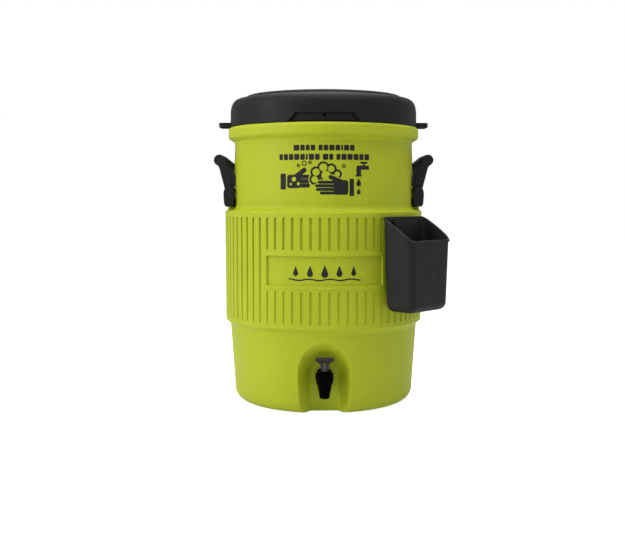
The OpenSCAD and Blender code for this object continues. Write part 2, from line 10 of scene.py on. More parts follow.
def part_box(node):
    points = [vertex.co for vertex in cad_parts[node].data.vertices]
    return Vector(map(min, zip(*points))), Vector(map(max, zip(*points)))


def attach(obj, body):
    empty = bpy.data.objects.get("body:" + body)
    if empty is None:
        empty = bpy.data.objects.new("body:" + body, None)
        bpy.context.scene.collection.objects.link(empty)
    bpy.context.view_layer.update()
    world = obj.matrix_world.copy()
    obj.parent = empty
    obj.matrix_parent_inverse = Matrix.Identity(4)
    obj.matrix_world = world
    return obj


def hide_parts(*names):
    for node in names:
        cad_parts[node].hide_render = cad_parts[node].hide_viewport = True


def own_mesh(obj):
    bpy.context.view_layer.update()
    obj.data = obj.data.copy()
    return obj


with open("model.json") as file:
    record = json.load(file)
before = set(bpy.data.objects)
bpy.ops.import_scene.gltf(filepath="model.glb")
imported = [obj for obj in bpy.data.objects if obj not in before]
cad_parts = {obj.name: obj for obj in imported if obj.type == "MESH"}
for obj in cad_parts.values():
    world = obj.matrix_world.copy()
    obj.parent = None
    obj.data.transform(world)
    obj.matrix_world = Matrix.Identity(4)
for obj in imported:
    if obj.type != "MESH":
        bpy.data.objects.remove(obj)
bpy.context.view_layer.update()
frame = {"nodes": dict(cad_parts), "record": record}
MM = 0.001


# ---------------------------------------------------------------- sizes, taken from the CAD nodes
def mm_box(node):
    lo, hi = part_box(node)
    return np.array(lo) / MM, np.array(hi) / MM


_, shell_hi = mm_box("outer_shell")
_, lid_hi = mm_box("lid_cap")
bin_lo, _ = mm_box("bin")
tap_lo, _ = mm_box("spigot_body")
bracket_lo, _ = mm_box("right_handle_bracket")

BAND_R = 161.3                     # ribbed band, upper edge
BAND_LOW_R = 159.8
BAND_MID_R = 160.0
SLOT_FLOOR_R = 158.2
SLOT_PITCH = 5.0                   # degrees from slot to slot
SLOT_Z = (137.3, 297.7)            # ends of the long slots
LABEL_Z = (186.6, 249.1)           # inner ends of the slots above and below the label frame
FRAME_Z = (189.7, 245.4)           # label frame, outside
PANEL_Z = (195.3, 239.8)           # panel inside the frame
LABEL_HALF = 35.0                  # half the frame's width in degrees
UPPER_R = 147.5
NECK_R = 145.6
RIM_R = 156.1
RIM_Z = shell_hi[2]
LID_R = 152.9
SEAT_Z = lid_hi[2]
TAP_Y = -140.0
SPOUT_Z = tap_lo[2]
PIVOT = (151.8, 337.3)
GRIP = (168.2, 388.1)
BIN_TURN = math.radians(47)
BIN_BACK_Y = -164.7


# ---------------------------------------------------------------- mesh helpers
def make(name, verts, faces):
    """Object from points in millimetres and faces."""
    mesh = bpy.data.meshes.new(name)
    points = [tuple(float(c) * MM for c in v) for v in verts]
    mesh.from_pydata(points, [], [tuple(int(i) for i in f) for f in faces])
    mesh.validate()
    mesh.update()
    mesh.polygons.foreach_set("use_smooth", [True] * len(mesh.polygons))
    obj = bpy.data.objects.new(name, mesh)
    bpy.context.scene.collection.objects.link(obj)
    return obj


FINE_WELD = 0.000005


def clean(obj, weld=0.00002):
    """Welds doubles, drops zero-area faces and points the normals outwards."""
    bm = bmesh.new()
    bm.from_mesh(obj.data)
    bmesh.ops.remove_doubles(bm, verts=bm.verts, dist=weld)
    bmesh.ops.dissolve_degenerate(bm, edges=bm.edges, dist=weld)
    bmesh.ops.recalc_face_normals(bm, faces=bm.faces)
    bm.to_mesh(obj.data)
    bm.free()
    return obj


def apply_mods(obj):
    """Turns the object's modifiers into plain mesh."""
    graph = bpy.context.evaluated_depsgraph_get()
    mesh = bpy.data.meshes.new_from_object(obj.evaluated_get(graph))
    obj.modifiers.clear()
    old = obj.data
    obj.data = mesh
    bpy.data.meshes.remove(old)
    return obj


def bevel(obj, width, segments=3, angle=30):
    mod = obj.modifiers.new("bevel", "BEVEL")
    mod.width = width * MM
    mod.segments = segments
    mod.limit_method = "ANGLE"
    mod.angle_limit = math.radians(angle)
    mod.use_clamp_overlap = True
    return apply_mods(obj)


def boolean(obj, other, how):
    """Joins the other object to obj or cuts it out, and uses it up."""
    mod = obj.modifiers.new("bool", "BOOLEAN")
    mod.operation = how
    mod.object = other
    mod.solver = "EXACT"
    apply_mods(obj)
    bpy.data.objects.remove(other)
    return obj


def shade(obj, angle=40):
    """Smooth shading with sharp edges where faces meet at more than the angle."""
    obj.data.polygons.foreach_set("use_smooth", [True] * len(obj.data.polygons))
    obj.data.set_sharp_from_angle(angle=math.radians(angle))
    mod = obj.modifiers.new("normals", "WEIGHTED_NORMAL")
    mod.keep_sharp = True
    mod.weight = 60
    return obj


def fillet(points, steps=5):
    """Polyline from (a, b, radius) corners, with each corner rounded by its radius."""
    out = []
    for i, (x, y, rad) in enumerate(points):
        p = np.array([x, y], float)
        if i == 0 or i == len(points) - 1 or rad <= 0:
            out.append(p)
            continue
        a = np.array(points[i - 1][:2], float) - p
        b = np.array(points[i + 1][:2], float) - p
        la, lb = np.linalg.norm(a), np.linalg.norm(b)
        a, b = a / la, b / lb
        half = math.acos(np.clip(np.dot(a, b), -1, 1)) / 2
        cut = min(rad / math.tan(half), 0.48 * la, 0.48 * lb)
        p0, p1 = p + a * cut, p + b * cut
        for k in range(steps + 1):
            t = k / steps
            out.append((1 - t) ** 2 * p0 + 2 * t * (1 - t) * p + t * t * p1)
    return out


def ring_fillet(points, steps=5):
    """The same for a closed outline."""
    n = len(points)
    wrapped = [points[-1]] + list(points) + [points[0]]
    out = []
    for i in range(1, n + 1):
        out += fillet(wrapped[i - 1:i + 2], steps)[1:-1]
    return out


def spindle(low, corners, high, steps=5):
    """Profile for lathe() that starts and ends on the axis, at heights low and high."""
    return [(0, low)] + [tuple(p) for p in fillet(corners, steps)] + [(0, high)]


def refine(path, longest):
    """Splits the path's long segments."""
    out = [path[0]]
    for a, b in zip(path[:-1], path[1:]):
        n = max(1, int(math.ceil(np.linalg.norm(b - a) / longest)))
        out += [a + (b - a) * (k + 1) / n for k in range(n)]
    return out


def grid_faces(rows, cols):
    """Quads between rows of cols points that go round."""
    return [face for i in range(rows - 1) for face in ring_faces(
        range(i * cols, (i + 1) * cols), range((i + 1) * cols, (i + 2) * cols))]


def ring_faces(a, b):
    """Quads between two closed rings of equally many indices."""
    n = len(a)
    return [(a[j], a[(j + 1) % n], b[(j + 1) % n], b[j]) for j in range(n)]


def fan(ring, centre):
    """Triangles from a closed ring of indices to one point."""
    return [(ring[j], ring[(j + 1) % len(ring)], centre) for j in range(len(ring))]


def add_ring(verts, points):
    first = len(verts)
    verts.extend(points.tolist())
    return list(range(first, first + len(points)))


def stitch(low, low_t, high, high_t):
    """Triangles between two closed rings of indices whose angles rise from the same start."""
    faces = []
    i = j = 0
    n, m = len(low), len(high)
    full = 2 * math.pi
    while i < n or j < m:
        next_i = low_t[(i + 1) % n] + (full if i + 1 >= n else 0)
        next_j = high_t[(j + 1) % m] + (full if j + 1 >= m else 0)
        if j >= m or (i < n and next_i <= next_j):
            faces.append((low[i % n], low[(i + 1) % n], high[j % m]))
            i += 1
        else:
            faces.append((low[i % n], high[(j + 1) % m], high[j % m]))
            j += 1
    return faces


def lathe(name, profile, cols=128, centre=(0, 0), closed=False):
    """Revolves a profile of (radius, height) in millimetres. Ends on the axis are closed to a point."""
    verts, rings = [], []
    for r, z in profile:
        if r < 1e-6:
            rings.append([len(verts)])
            verts.append((centre[0], centre[1], z))
        else:
            rings.append(list(range(len(verts), len(verts) + cols)))
            for j in range(cols):
                a = 2 * math.pi * j / cols
                verts.append((centre[0] + r * math.cos(a), centre[1] + r * math.sin(a), z))
    faces = []
    pairs = list(zip(rings[:-1], rings[1:])) + ([(rings[-1], rings[0])] if closed else [])
    for a, b in pairs:
        for j in range(cols):
            k = (j + 1) % cols
            if len(a) == 1 and len(b) == 1:
                continue
            if len(a) == 1:
                faces.append((a[0], b[k], b[j]))
            elif len(b) == 1:
                faces.append((a[j], a[k], b[0]))
            else:
                faces.append((a[j], a[k], b[k], b[j]))
    return clean(make(name, verts, faces))


def smooth_step(x, a, b):
    t = np.clip((x - a) / (b - a), 0, 1)
    return t * t * (3 - 2 * t)


def smin(a, b, k):
    h = np.clip(0.5 + 0.5 * (b - a) / k, 0, 1)
    return b * (1 - h) + a * h - k * h * (1 - h)


def smax(a, b, k):
    return -smin(-a, -b, k)


# ---------------------------------------------------------------- materials
def add_node(tree, kind, **values):
    """Adds a shader node and sets its inputs by name, with _ for a space."""
    node = tree.nodes.new(kind)
    for key, value in values.items():
        node.inputs[key.replace("_", " ")].default_value = value
    return node


def material(name, colour, rough, specular, grain, grain_size, mottle, metallic=0.0, streak=(1, 1, 1)):
    """Procedural plastic, rubber, foam or metal: mottled colour, uneven gloss and a fine moulded grain."""
    mat = bpy.data.materials.new(name)
    mat.use_nodes = True
    tree = mat.node_tree
    link = tree.links.new
    shader = tree.nodes["Principled BSDF"]
    shader.inputs["Metallic"].default_value = metallic
    shader.inputs["Specular IOR Level"].default_value = specular
    mapping = add_node(tree, "ShaderNodeMapping", Scale=streak)
    link(add_node(tree, "ShaderNodeTexCoord").outputs["Object"], mapping.inputs["Vector"])

    def noise(scale, detail):
        node = add_node(tree, "ShaderNodeTexNoise", Scale=scale, Detail=detail)
        link(mapping.outputs["Vector"], node.inputs["Vector"])
        return node.outputs["Fac"]

    ramp = add_node(tree, "ShaderNodeValToRGB")
    low, high = ramp.color_ramp.elements
    low.position, high.position = 0.3, 0.7
    low.color = (*[c * (1 - mottle) for c in colour], 1)
    high.color = (*[min(1, c * (1 + mottle)) for c in colour], 1)
    link(noise(14, 5), ramp.inputs["Fac"])
    link(ramp.outputs["Color"], shader.inputs["Base Color"])
    gloss = add_node(tree, "ShaderNodeMapRange", From_Min=0.3, From_Max=0.7,
                     To_Min=max(0.05, rough - 0.05), To_Max=min(1.0, rough + 0.05))
    link(noise(55, 3), gloss.inputs["Value"])
    link(gloss.outputs["Result"], shader.inputs["Roughness"])
    bump = add_node(tree, "ShaderNodeBump", Strength=grain, Distance=0.0002)
    link(noise(1 / (grain_size * MM), 2), bump.inputs["Height"])
    link(bump.outputs["Normal"], shader.inputs["Normal"])
    return mat


FINISHES = {    # colour, roughness, specular, grain depth, grain size in mm, mottling, metal, streaks
    "lime_plastic": ((0.405, 0.468, 0.0165), 0.52, 0.22, 0.12, 0.9, 0.035),
    "black_plastic": ((0.014, 0.014, 0.014), 0.53, 0.18, 0.3, 0.7, 0.12),
    "lid_plastic": ((0.0115, 0.0115, 0.0115), 0.53, 0.17, 0.35, 0.8, 0.12),
    # jet_plastic: the tap's own near-black plastic, and also painted shade inside the lid's tie hole
    "jet_plastic": ((0.0009, 0.0009, 0.001), 0.5, 0.02, 0.08, 0.6, 0.15),
    "lever_plastic": ((0.022, 0.022, 0.024), 0.45, 0.3, 0.15, 0.5, 0.12),
    "white_plastic": ((0.78, 0.78, 0.75), 0.35, 0.35, 0.08, 1.2, 0.03),
    "foam": ((0.78, 0.68, 0.42), 0.9, 0.1, 0.9, 1.4, 0.1),
    "black_rubber": ((0.022, 0.022, 0.022), 0.75, 0.2, 0.4, 0.6, 0.15),
    "steel": ((0.52, 0.52, 0.54), 0.3, 0.5, 0.25, 0.4, 0.05, 1.0, (1, 1, 6)),
    "grey_plastic": ((0.34, 0.34, 0.345), 0.42, 0.3, 0.15, 0.5, 0.1),
    "ink": ((0.021, 0.021, 0.02), 0.6, 0.15, 0.2, 0.5, 0.15),
}
M = {name: material(name, *values) for name, values in FINISHES.items()}


def piece(obj, body, mat, stands_for=()):
    """Gives a visual piece its material, body and the CAD nodes it stands for."""
    obj.data.materials.clear()
    obj.data.materials.append(M[mat])
    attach(obj, body)
    if stands_for:
        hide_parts(*stands_for)
    return obj


# ---------------------------------------------------------------- jug shell
ALCOVE_BACK, ALCOVE_BACK_R, ALCOVE_BACK_Z = 115.0, 22.0, 57.0    # back wall: depth, arch radius and centre
ALCOVE_RUN, ALCOVE_WIDEN, ALCOVE_RISE = 60.0, 40.0, 9.0          # over this run the arch widens and rises


def alcove_radius(theta, z):
    """Radius at which a ray at angle theta from the front enters the arched alcove, at height z."""
    slope = np.tan(np.minimum(np.abs(theta), math.radians(24)))
    side = (ALCOVE_BACK * slope - ALCOVE_BACK_R) / (ALCOVE_WIDEN - ALCOVE_RUN * slope)
    up = z - ALCOVE_BACK_Z
    a = (ALCOVE_RUN * slope) ** 2 + ALCOVE_RISE ** 2 - ALCOVE_WIDEN ** 2
    b = 2 * (ALCOVE_BACK * ALCOVE_RUN * slope ** 2 - ALCOVE_RISE * up - ALCOVE_BACK_R * ALCOVE_WIDEN)
    c = (ALCOVE_BACK * slope) ** 2 + up ** 2 - ALCOVE_BACK_R ** 2
    a = np.where(np.abs(a) < 1e-6, -1e-6, a)
    root = np.sqrt(np.maximum(b * b - 4 * a * c, 0))
    arch = (-b - root) / (2 * a)
    other = (-b + root) / (2 * a)
    arch = np.where(a < 0, np.maximum(arch, other), np.where(c > 0, 9.0, arch))
    arch = np.where((a < 0) & (c < 0), -1.0, arch)
    depth = np.where(up <= ALCOVE_RISE * np.maximum(side, 0), side, arch)
    depth = smax(np.zeros_like(depth), np.minimum(depth, 4.0), 0.09)
    radius = (ALCOVE_BACK + ALCOVE_RUN * depth) / np.cos(theta)
    return np.where(np.abs(theta) > math.radians(23.9), 400.0, radius)


def front_angles(steps):
    """Angles from the front, mirrored, from a list of (limit, step) in degrees up to 180."""
    half, at = [], 0.0
    for limit, step in steps:
        n = max(1, int(round((limit - at) / step)))
        half += list(np.linspace(at, limit, n, endpoint=False))
        at = limit
    half = np.array(half)
    return np.radians(np.concatenate([-half[:0:-1], half, [180.0]]))


def place(theta, r, z):
    return np.stack([r * np.sin(theta), -r * np.cos(theta), z], axis=-1)


def close_disc(verts, faces, last, last_t, z, discs):
    """Closes a ring to the axis at height z, over smaller rings of (radius, step in degrees)."""
    for radius, step in discs:
        disc_t = front_angles([(180, step)])
        disc = add_ring(verts, place(disc_t, radius, np.full_like(disc_t, z)))
        faces.extend(stitch(last, last_t, disc, disc_t))
        last, last_t = disc, disc_t
    verts.append([0, 0, z])
    faces.extend(fan(last, len(verts) - 1))


def band_slot_depth(theta, z, radius):
    """How far the slots, the label frame and its panel move the band's surface inwards."""
    pitch = math.radians(SLOT_PITCH)
    across = (np.mod(theta, pitch) - pitch / 2) * BAND_MID_R
    front = np.abs(theta) < math.radians(LABEL_HALF)

    def stadium(z0, z1):
        half = 1.75
        along = np.maximum(np.maximum(z0 + half - z, z - z1 + half), 0)
        return np.hypot(across, along) - half

    whole = stadium(*SLOT_Z)
    split = np.minimum(stadium(SLOT_Z[0], LABEL_Z[0]), stadium(LABEL_Z[1], SLOT_Z[1]))
    d = np.where(front, split, whole)
    depth = (radius - SLOT_FLOOR_R) * (1 - smooth_step(d, -0.42, 0.4))
    around = (LABEL_HALF - np.degrees(np.abs(theta))) * 2.8
    frame_d = np.minimum(np.minimum(z - FRAME_Z[0], FRAME_Z[1] - z), around)
    proud = smooth_step(frame_d, -0.15, 0.9)
    panel_d = np.minimum(np.minimum(z - PANEL_Z[0], PANEL_Z[1] - z), around - 5.6)
    panel = 3.6 * smooth_step(panel_d, -0.35, 0.55)
    return depth - proud + panel


def jug_shell():
    verts, faces = [], []

    def add_block(theta, rows):
        """rows: list of functions of theta giving (radius, height)."""
        rings = []
        for row in rows:
            r, z = row(theta)
            rings.append(add_ring(verts, place(theta, r, np.full_like(theta, z))))
        for a, b in zip(rings[:-1], rings[1:]):
            faces.extend(ring_faces(a, b))
        return rings

    # lower body: profile radius by height
    lower_t = front_angles([(9, 0.6), (18, 0.2), (24, 0.75), (180, 3.2)])
    corner = [(124.7 + 20 * math.sin(a), 20 - 20 * math.cos(a)) for a in np.radians(np.arange(0, 87, 8.6))]
    waist = fillet([(144.7, 21.5, 0), (152.5, 123.5, 7), (BAND_LOW_R - 0.4, 129.9, 0)], 6)
    line = refine([np.array(corner[-1])] + [np.array(p) for p in waist[:1]] + waist[1:], 0.95)
    lower = [np.array(p) for p in corner[:-1]] + line
    waist_top = lower[-1]

    sill = 6.0      # radius of the alcove's bottom edge

    def lower_row(r0, z):
        def row(theta):
            cut = alcove_radius(theta, np.full_like(theta, z))
            r = smin(np.full_like(theta, r0), cut, 3.2)
            inside = smooth_step(r0 - cut, -4, 3)
            if z < sill:
                r = r - inside * (sill - math.sqrt(max(sill ** 2 - (sill - z) ** 2, 0)))
            return r, z
        return row

    low_rings = add_block(lower_t, [lower_row(r, z) for r, z in lower[:-1]])

    # band
    cols = []
    for i in range(int(360 / SLOT_PITCH)):
        centre = (i + 0.5) * SLOT_PITCH
        cols += [i * SLOT_PITCH, centre]
        for d in (0.85, 1.4, 1.75, 2.1, 2.65):
            turn = math.degrees(d / BAND_MID_R)
            cols += [centre + turn, centre - turn]
    for edge in (LABEL_HALF, 360 - LABEL_HALF):
        cols += [edge + d for d in (-0.32, -0.14, 0.06, 0.2)]
    cols = np.array(sorted(set(round(c, 5) for c in cols)))
    cols = np.where(cols > 180, cols - 360, cols)
    band_t = np.radians(np.sort(cols))
    ends = [-0.75, -0.35, 0, 0.4, 0.9, 1.35, 1.8]
    edge = [-0.15, 0.2, 0.55, 0.9]
    lip = [-0.35, -0.05, 0.25, 0.55]
    levels = [217.5]
    for (low, high), steps, inward in (
            (SLOT_Z, ends, 1), (LABEL_Z, ends, -1), (FRAME_Z, edge, 1), (PANEL_Z, lip, 1)):
        levels += [low + inward * e for e in steps] + [high - inward * e for e in steps]
    levels.sort()
    low_edge = fillet([(*waist_top, 0), (BAND_LOW_R + 0.02, 130.3, 1.6), (BAND_LOW_R + 0.06, 134, 0)], 4)
    top_edge = fillet([(BAND_R, 302.4, 0), (BAND_R + 0.02, 305.2, 1.7), (158.6, 306.7, 1.5),
                       (151.6, 308.6, 2.2), (148.7, 311.2, 2.0), (UPPER_R, 314.5, 0)], 4)

    def band_row(r0, z, carved):
        def row(theta):
            r = np.full_like(theta, r0)
            if carved:
                r = r - band_slot_depth(theta, z, r0)
            return r, z
        return row

    rows = [band_row(r, z, False) for r, z in low_edge]
    for z in levels:
        r0 = BAND_LOW_R + (BAND_R - BAND_LOW_R) * (z - 130) / 174
        rows.append(band_row(r0, z, True))
    rows += [band_row(r, z, False) for r, z in top_edge[:12]]
    band_rings = add_block(band_t, rows)
    faces.extend(stitch(low_rings[-1], lower_t, band_rings[0], band_t))

    # upper body and rim
    upper_t = front_angles([(180, 2.0)])
    profile = list(top_edge[12:]) + refine(fillet([
        (UPPER_R, 315.5, 0), (NECK_R, 417.5, 6), (154.4, 422.6, 1.2), (RIM_R, 425.2, 2.0),
        (RIM_R, 437, 3.4), (RIM_R - 1.5, RIM_Z - 1, 2.6), (150.5, RIM_Z, 1), (138.2, RIM_Z, 0.8),
        (138.2, RIM_Z - 3.2, 0)], 5), 5)
    upper_rings = add_block(upper_t, [band_row(r, z, False) for r, z in profile])
    faces.extend(stitch(band_rings[-1], band_t, upper_rings[0], upper_t))

    # inside of the shell, drawn back by its wall, and the base
    inner_t = front_angles([(24, 1.5), (180, 6.0)])
    inside = refine([np.array(p) for p in (
        (139, RIM_Z - 3.2), (152.9, RIM_Z - 3.2), (152.9, 425.4), (142.6, 420.5), (144.6, 310), (149.5, 305),
        (156.3, 302), (154.9, 132.5), (149.5, 126), (141.7, 22), (136, 9), (124.7, 3))], 14)

    def inner_row(r0, z):
        def row(theta):
            cut = alcove_radius(theta, np.full_like(theta, max(z, 0)) - 3.0) - 4.2
            return (np.minimum(np.full_like(theta, r0), cut) if z < 118 else np.full_like(theta, r0)), z
        return row

    inner_rings = add_block(inner_t, [inner_row(r, z) for r, z in inside])
    faces.extend(stitch(upper_rings[-1], upper_t, inner_rings[0], inner_t))
    for ring, t, z in ((low_rings[0], lower_t, 0.0), (inner_rings[-1], inner_t, 3.0)):
        close_disc(verts, faces, ring, t, z, ((91.8, 6.0), (48.6, 12.0)))
    return clean(make("jug_shell", verts, faces), FINE_WELD)


jug = shade(jug_shell(), 50)
piece(jug, "jug", "lime_plastic", stands_for=("outer_shell",))


def sector(name, half_deg, corners, centre_deg, width, cols=24):
    """Ring sector swept about the jug's axis from a closed (radius, height) outline, with bevelled edges."""
    n = len(corners)
    angles = np.radians(np.linspace(centre_deg - half_deg, centre_deg + half_deg, cols + 1))
    verts = [(r * math.cos(a), r * math.sin(a), z) for a in angles for r, z in corners]
    faces = [(i * n + j, i * n + (j + 1) % n, (i + 1) * n + (j + 1) % n, (i + 1) * n + j)
             for i in range(cols) for j in range(n)]
    faces += [tuple(range(n)), tuple(cols * n + j for j in range(n))[::-1]]
    return bevel(clean(make(name, verts, faces)), width, 3, 25)


pad_corners = [(146.2, 306.5), (158.2, 306.2), (157.3, 312.3), (146.2, 312.3)]
for side, at in (("right", 0), ("left", 180)):
    piece(shade(sector(f"{side}_bracket_pad", 15, pad_corners, at, 0.8), 40), "jug", "lime_plastic")


# ---------------------------------------------------------------- lid
HOLE_Z, HOLE_R = 451.8, 2.2


def lid_notch(theta, z, grow=0.0):
    """Depth of the shallow notch at the front of the lid."""
    x = LID_R * np.sin(theta)
    inward = (58.3 - 0.881 * (z - 439.5) - np.abs(x)) * 0.75 + grow
    top = smooth_step(455.5 - z + grow, -0.45, 0.75)
    groove = smooth_step(inward, -0.2, 0.9) * (1 - smooth_step(inward, 2.6, 3.6))
    depth = 4.0 * np.minimum(smooth_step(inward, -0.3, 1.2), top)
    if grow == 0:
        under = smooth_step(inward, 0, 1.5) * (1 - smooth_step(z, 442.9, 444.2))
        depth = depth + np.maximum(2.0 * np.minimum(groove, top), 2.2 * under)
    front = np.cos(theta) > 0
    return np.where(front, depth, 0.0)


def lid_skin():
    verts, faces = [], []
    theta = front_angles([(1.1, 0.11), (14, 1.6), (25, 0.33), (180, 2.6)])
    side = [443.0, 443.4, 443.8, 444.3, 446.0, *np.arange(446.8, 449.2, 0.8), *np.arange(449.3, 454.35, 0.28),
            *np.arange(454.7, 457.0, 0.4), 457.6]
    outer = fillet([(150.9, 441.7, 0), (LID_R, 441.75, 0.8), (LID_R, 442.7, 0)], 4)
    outer += [np.array([LID_R, z]) for z in side]
    for a in np.radians(np.linspace(0, 88, 19)):
        c, s = math.cos(a) ** (2 / 2.5), math.sin(a) ** (2 / 2.5)
        outer.append(np.array([137.5 + 15.4 * c, 461.5 + 26 * s]))
    outer += refine(fillet([(137.0, 487.5, 0), (129.9, 487.5, 0.9), (128.3, 491.3, 1.4), (126.0, SEAT_Z, 2.0),
                            (118, SEAT_Z, 0)], 7), 4)
    rings = []
    for r, z in outer:
        cut = lid_notch(theta, z) if z < 458 else 0.0
        hole = np.hypot(LID_R * theta, z - HOLE_Z)
        bore = 3.6 * (1 - smooth_step(hole, 1.9, 2.25)) if abs(z - HOLE_Z) < 3 else 0.0
        radius = np.full_like(theta, r) - cut - bore
        rings.append(add_ring(verts, place(theta, radius, np.full_like(theta, z))))
    inner_t = front_angles([(26, 1.6), (180, 4.0)])
    inner = []
    for r, z in ((149.6, 441.9), (149.6, 446), (149.6, 452), (149.6, 457), (149.6, 459.5), (149.6, 470.5),
                 (145.7, 479), (141.5, 484.3), (125.2, 484.3), (125.0, 489.9)):
        cut = 4.6 * smooth_step(lid_notch(inner_t, min(z, 458.0), 4.0), 0, 4) if z < 459 else 0.0
        radius = np.full_like(inner_t, r) - cut
        inner.append(add_ring(verts, place(inner_t, radius, np.full_like(inner_t, z))))
    for skin_rings in (rings, inner):
        for a, b in zip(skin_rings[:-1], skin_rings[1:]):
            faces.extend(ring_faces(a, b))
    faces.extend(stitch(rings[0], theta, inner[0], inner_t))
    for last, t, z in ((rings[-1], theta, SEAT_Z), (inner[-1], inner_t, 489.9)):
        close_disc(verts, faces, last, t, z, ((100, 6.0), (60, 6.0), (25, 6.0)))
    return clean(make("lid_skin", verts, faces), FINE_WELD)


def prism(name, outline, z0, z1, width=0.8, segments=3, frame_of=None, angle=30):
    """Closed flat outline (x, y) thickened from z0 to z1, edges rounded, then set in place by frame_of."""
    n = len(outline)
    verts = [(x, y, z0) for x, y in outline] + [(x, y, z1) for x, y in outline]
    faces = [tuple(range(n))[::-1], tuple(range(n, 2 * n))]
    faces += [(j, (j + 1) % n, n + (j + 1) % n, n + j) for j in range(n)]
    obj = clean(make(name, verts, faces))
    if width:
        bevel(obj, width, segments, angle)
    if frame_of is not None:
        obj.data.transform(frame_of)
        clean(obj)
    return obj


def box_outline(x0, x1, y0, y1, rad=0.0, steps=5):
    corners = [(x0, y0, rad), (x1, y0, rad), (x1, y1, rad), (x0, y1, rad)]
    return ring_fillet(corners, steps) if rad else [np.array(c[:2]) for c in corners]


skin = piece(shade(lid_skin(), 38), "lid", "lid_plastic", ("lid_cap",))
# second slot: near-black jet_plastic, used as painted shade inside the tie hole
skin.data.materials.append(M["jet_plastic"])
for face in skin.data.polygons:
    x, y, z = np.array(face.center) / MM
    if y < 0 and math.hypot(x, z - HOLE_Z) < HOLE_R and math.hypot(x, y) < LID_R - 4.3:
        face.material_index = 1      # painted shade: the inside of the deep tie hole gets near-black jet_plastic
tab_outline = ring_fillet([(151.2, -19.8, 1), (168.6, -19.8, 4), (171.2, -14, 5), (171.2, 14, 5),
                           (168.6, 19.8, 4), (151.2, 19.8, 1)], 4)
for side, s in (("right", 1), ("left", -1)):
    tab = prism(f"lid_tab_{side}", tab_outline, 442.4, 449.9, 1.1)
    tray = prism("tray", box_outline(153.2, 168.7, -17.2, 17.2, 3), 435, 447.4, 0)
    boolean(tab, tray, "DIFFERENCE")
    if s < 0:
        tab.data.transform(Matrix.Rotation(math.pi, 4, "Z"))
    piece(shade(clean(tab), 35), "lid", "lid_plastic")

# ---------------------------------------------------------------- handles and their brackets
# Outlines are drawn in X and Z and thickened along Y.
UPRIGHT = Matrix(((1, 0, 0, 0), (0, 0, 1, 0), (0, 1, 0, 0), (0, 0, 0, 1)))
px, pz = PIVOT
gx, gz = GRIP
ALONG_X = Matrix.Rotation(math.radians(90), 4, "Y")
ALONG_Y = Matrix.Rotation(math.radians(-90), 4, "X")


def turned(profile, cols, turn, at):
    """Solid of revolution laid along another axis, with its origin at a point in millimetres."""
    obj = lathe("turned", profile, cols)
    obj.data.transform(turn)
    obj.data.transform(Matrix.Translation([c * MM for c in at]))
    return clean(obj)


def rod(rad, half, cols, turn, at):
    return turned([(0, -half), (rad, -half), (rad, half), (0, half)], cols, turn, at)


def offset(origin, points):
    """Moves (x, z) or (x, z, radius) points to an origin."""
    return [(origin[0] + p[0], origin[1] + p[1], *p[2:]) for p in points]


def flipped(obj, axis):
    obj.data.transform(Matrix.Scale(-1, 4, axis))
    return clean(obj)


arm_corners = [
    *offset(PIVOT, [(-5.0, 5.6, 2), (-11.0, 11.3, 1.5), (-10.6, 21.3, 6), (-2.0, 47.6, 3), (6.7, 54.2, 6)]),
    *offset(GRIP, [(-4.6, 7.7, 5), (1.2, 8.9, 5), (7.2, 5.0, 5), (8.9, -1.5, 5), (6.3, -6.3, 4),
                   (0.5, -11.1, 8)]),
    *offset(PIVOT, [(7.8, 4.8, 6), (6.6, -3.6, 4), (1.0, -7.2, 4), (-5.0, -5.4, 4), (-7.2, 0.6, 3)])]
flange_cut = [*offset(PIVOT, [(-14, 12), (-13, 40), (2, 60)]), *offset(GRIP, [(-7.5, 8.5)]),
              *offset(PIVOT, [(6.1, 46.5), (1.5, 38), (-3.5, 22), (-3.0, 10)])]
deep_cut = offset(PIVOT, [(-8.5, 36), (-6.6, 35.2), (5.6, 46.2), (6.4, 52.6), (4, 58), (-9, 50)])


def moulded_handle(name):
    body = None
    for s in (-1, 1):
        arm = prism("arm", ring_fillet(arm_corners, 4), 34.0, 42.0, 1.3, 3, UPRIGHT, 35)
        for outline, depth in ((flange_cut, 1.1), (deep_cut, 6.6)):
            boolean(arm, prism("cut", outline, 42.0 - depth, 44, 0, 3, UPRIGHT), "DIFFERENCE")
        if s < 0:
            flipped(arm, (0, 1, 0))
        body = arm if body is None else boolean(body, arm, "UNION")
    grip = spindle(-41.6, [(6.5, -41.6, 0), (8.9, -41.4, 2.4), (8.9, -30, 2), (9.0, 0, 40), (8.9, 30, 2),
                           (8.9, 41.4, 2.4), (6.5, 41.6, 0)], 41.6, 4)
    boolean(body, turned(grip, 48, ALONG_Y, (gx, 0, gz)), "UNION")
    web = [*offset(PIVOT, [(-1.6, 47.7, 1.5), (6.7, 53.8, 3)]), *offset(GRIP, [(-4, 6.6, 1), (0, 0, 1)]),
           *offset(PIVOT, [(7.6, 50.8, 3), (-0.8, 45.2, 1)])]
    boolean(body, prism("web", ring_fillet(web, 3), -35, 35, 0.4, 2, UPRIGHT, 40), "UNION")
    # the arms stop just clear of the jug's wall, and the pivot rod runs through them
    boolean(body, lathe("clear", [(0, 300), (147.95, 300), (147.95, 420), (0, 420)], 160), "DIFFERENCE")
    boolean(body, rod(2.56, 60, 32, ALONG_Y, (px, 0, pz)), "DIFFERENCE")
    body.name = name
    return body


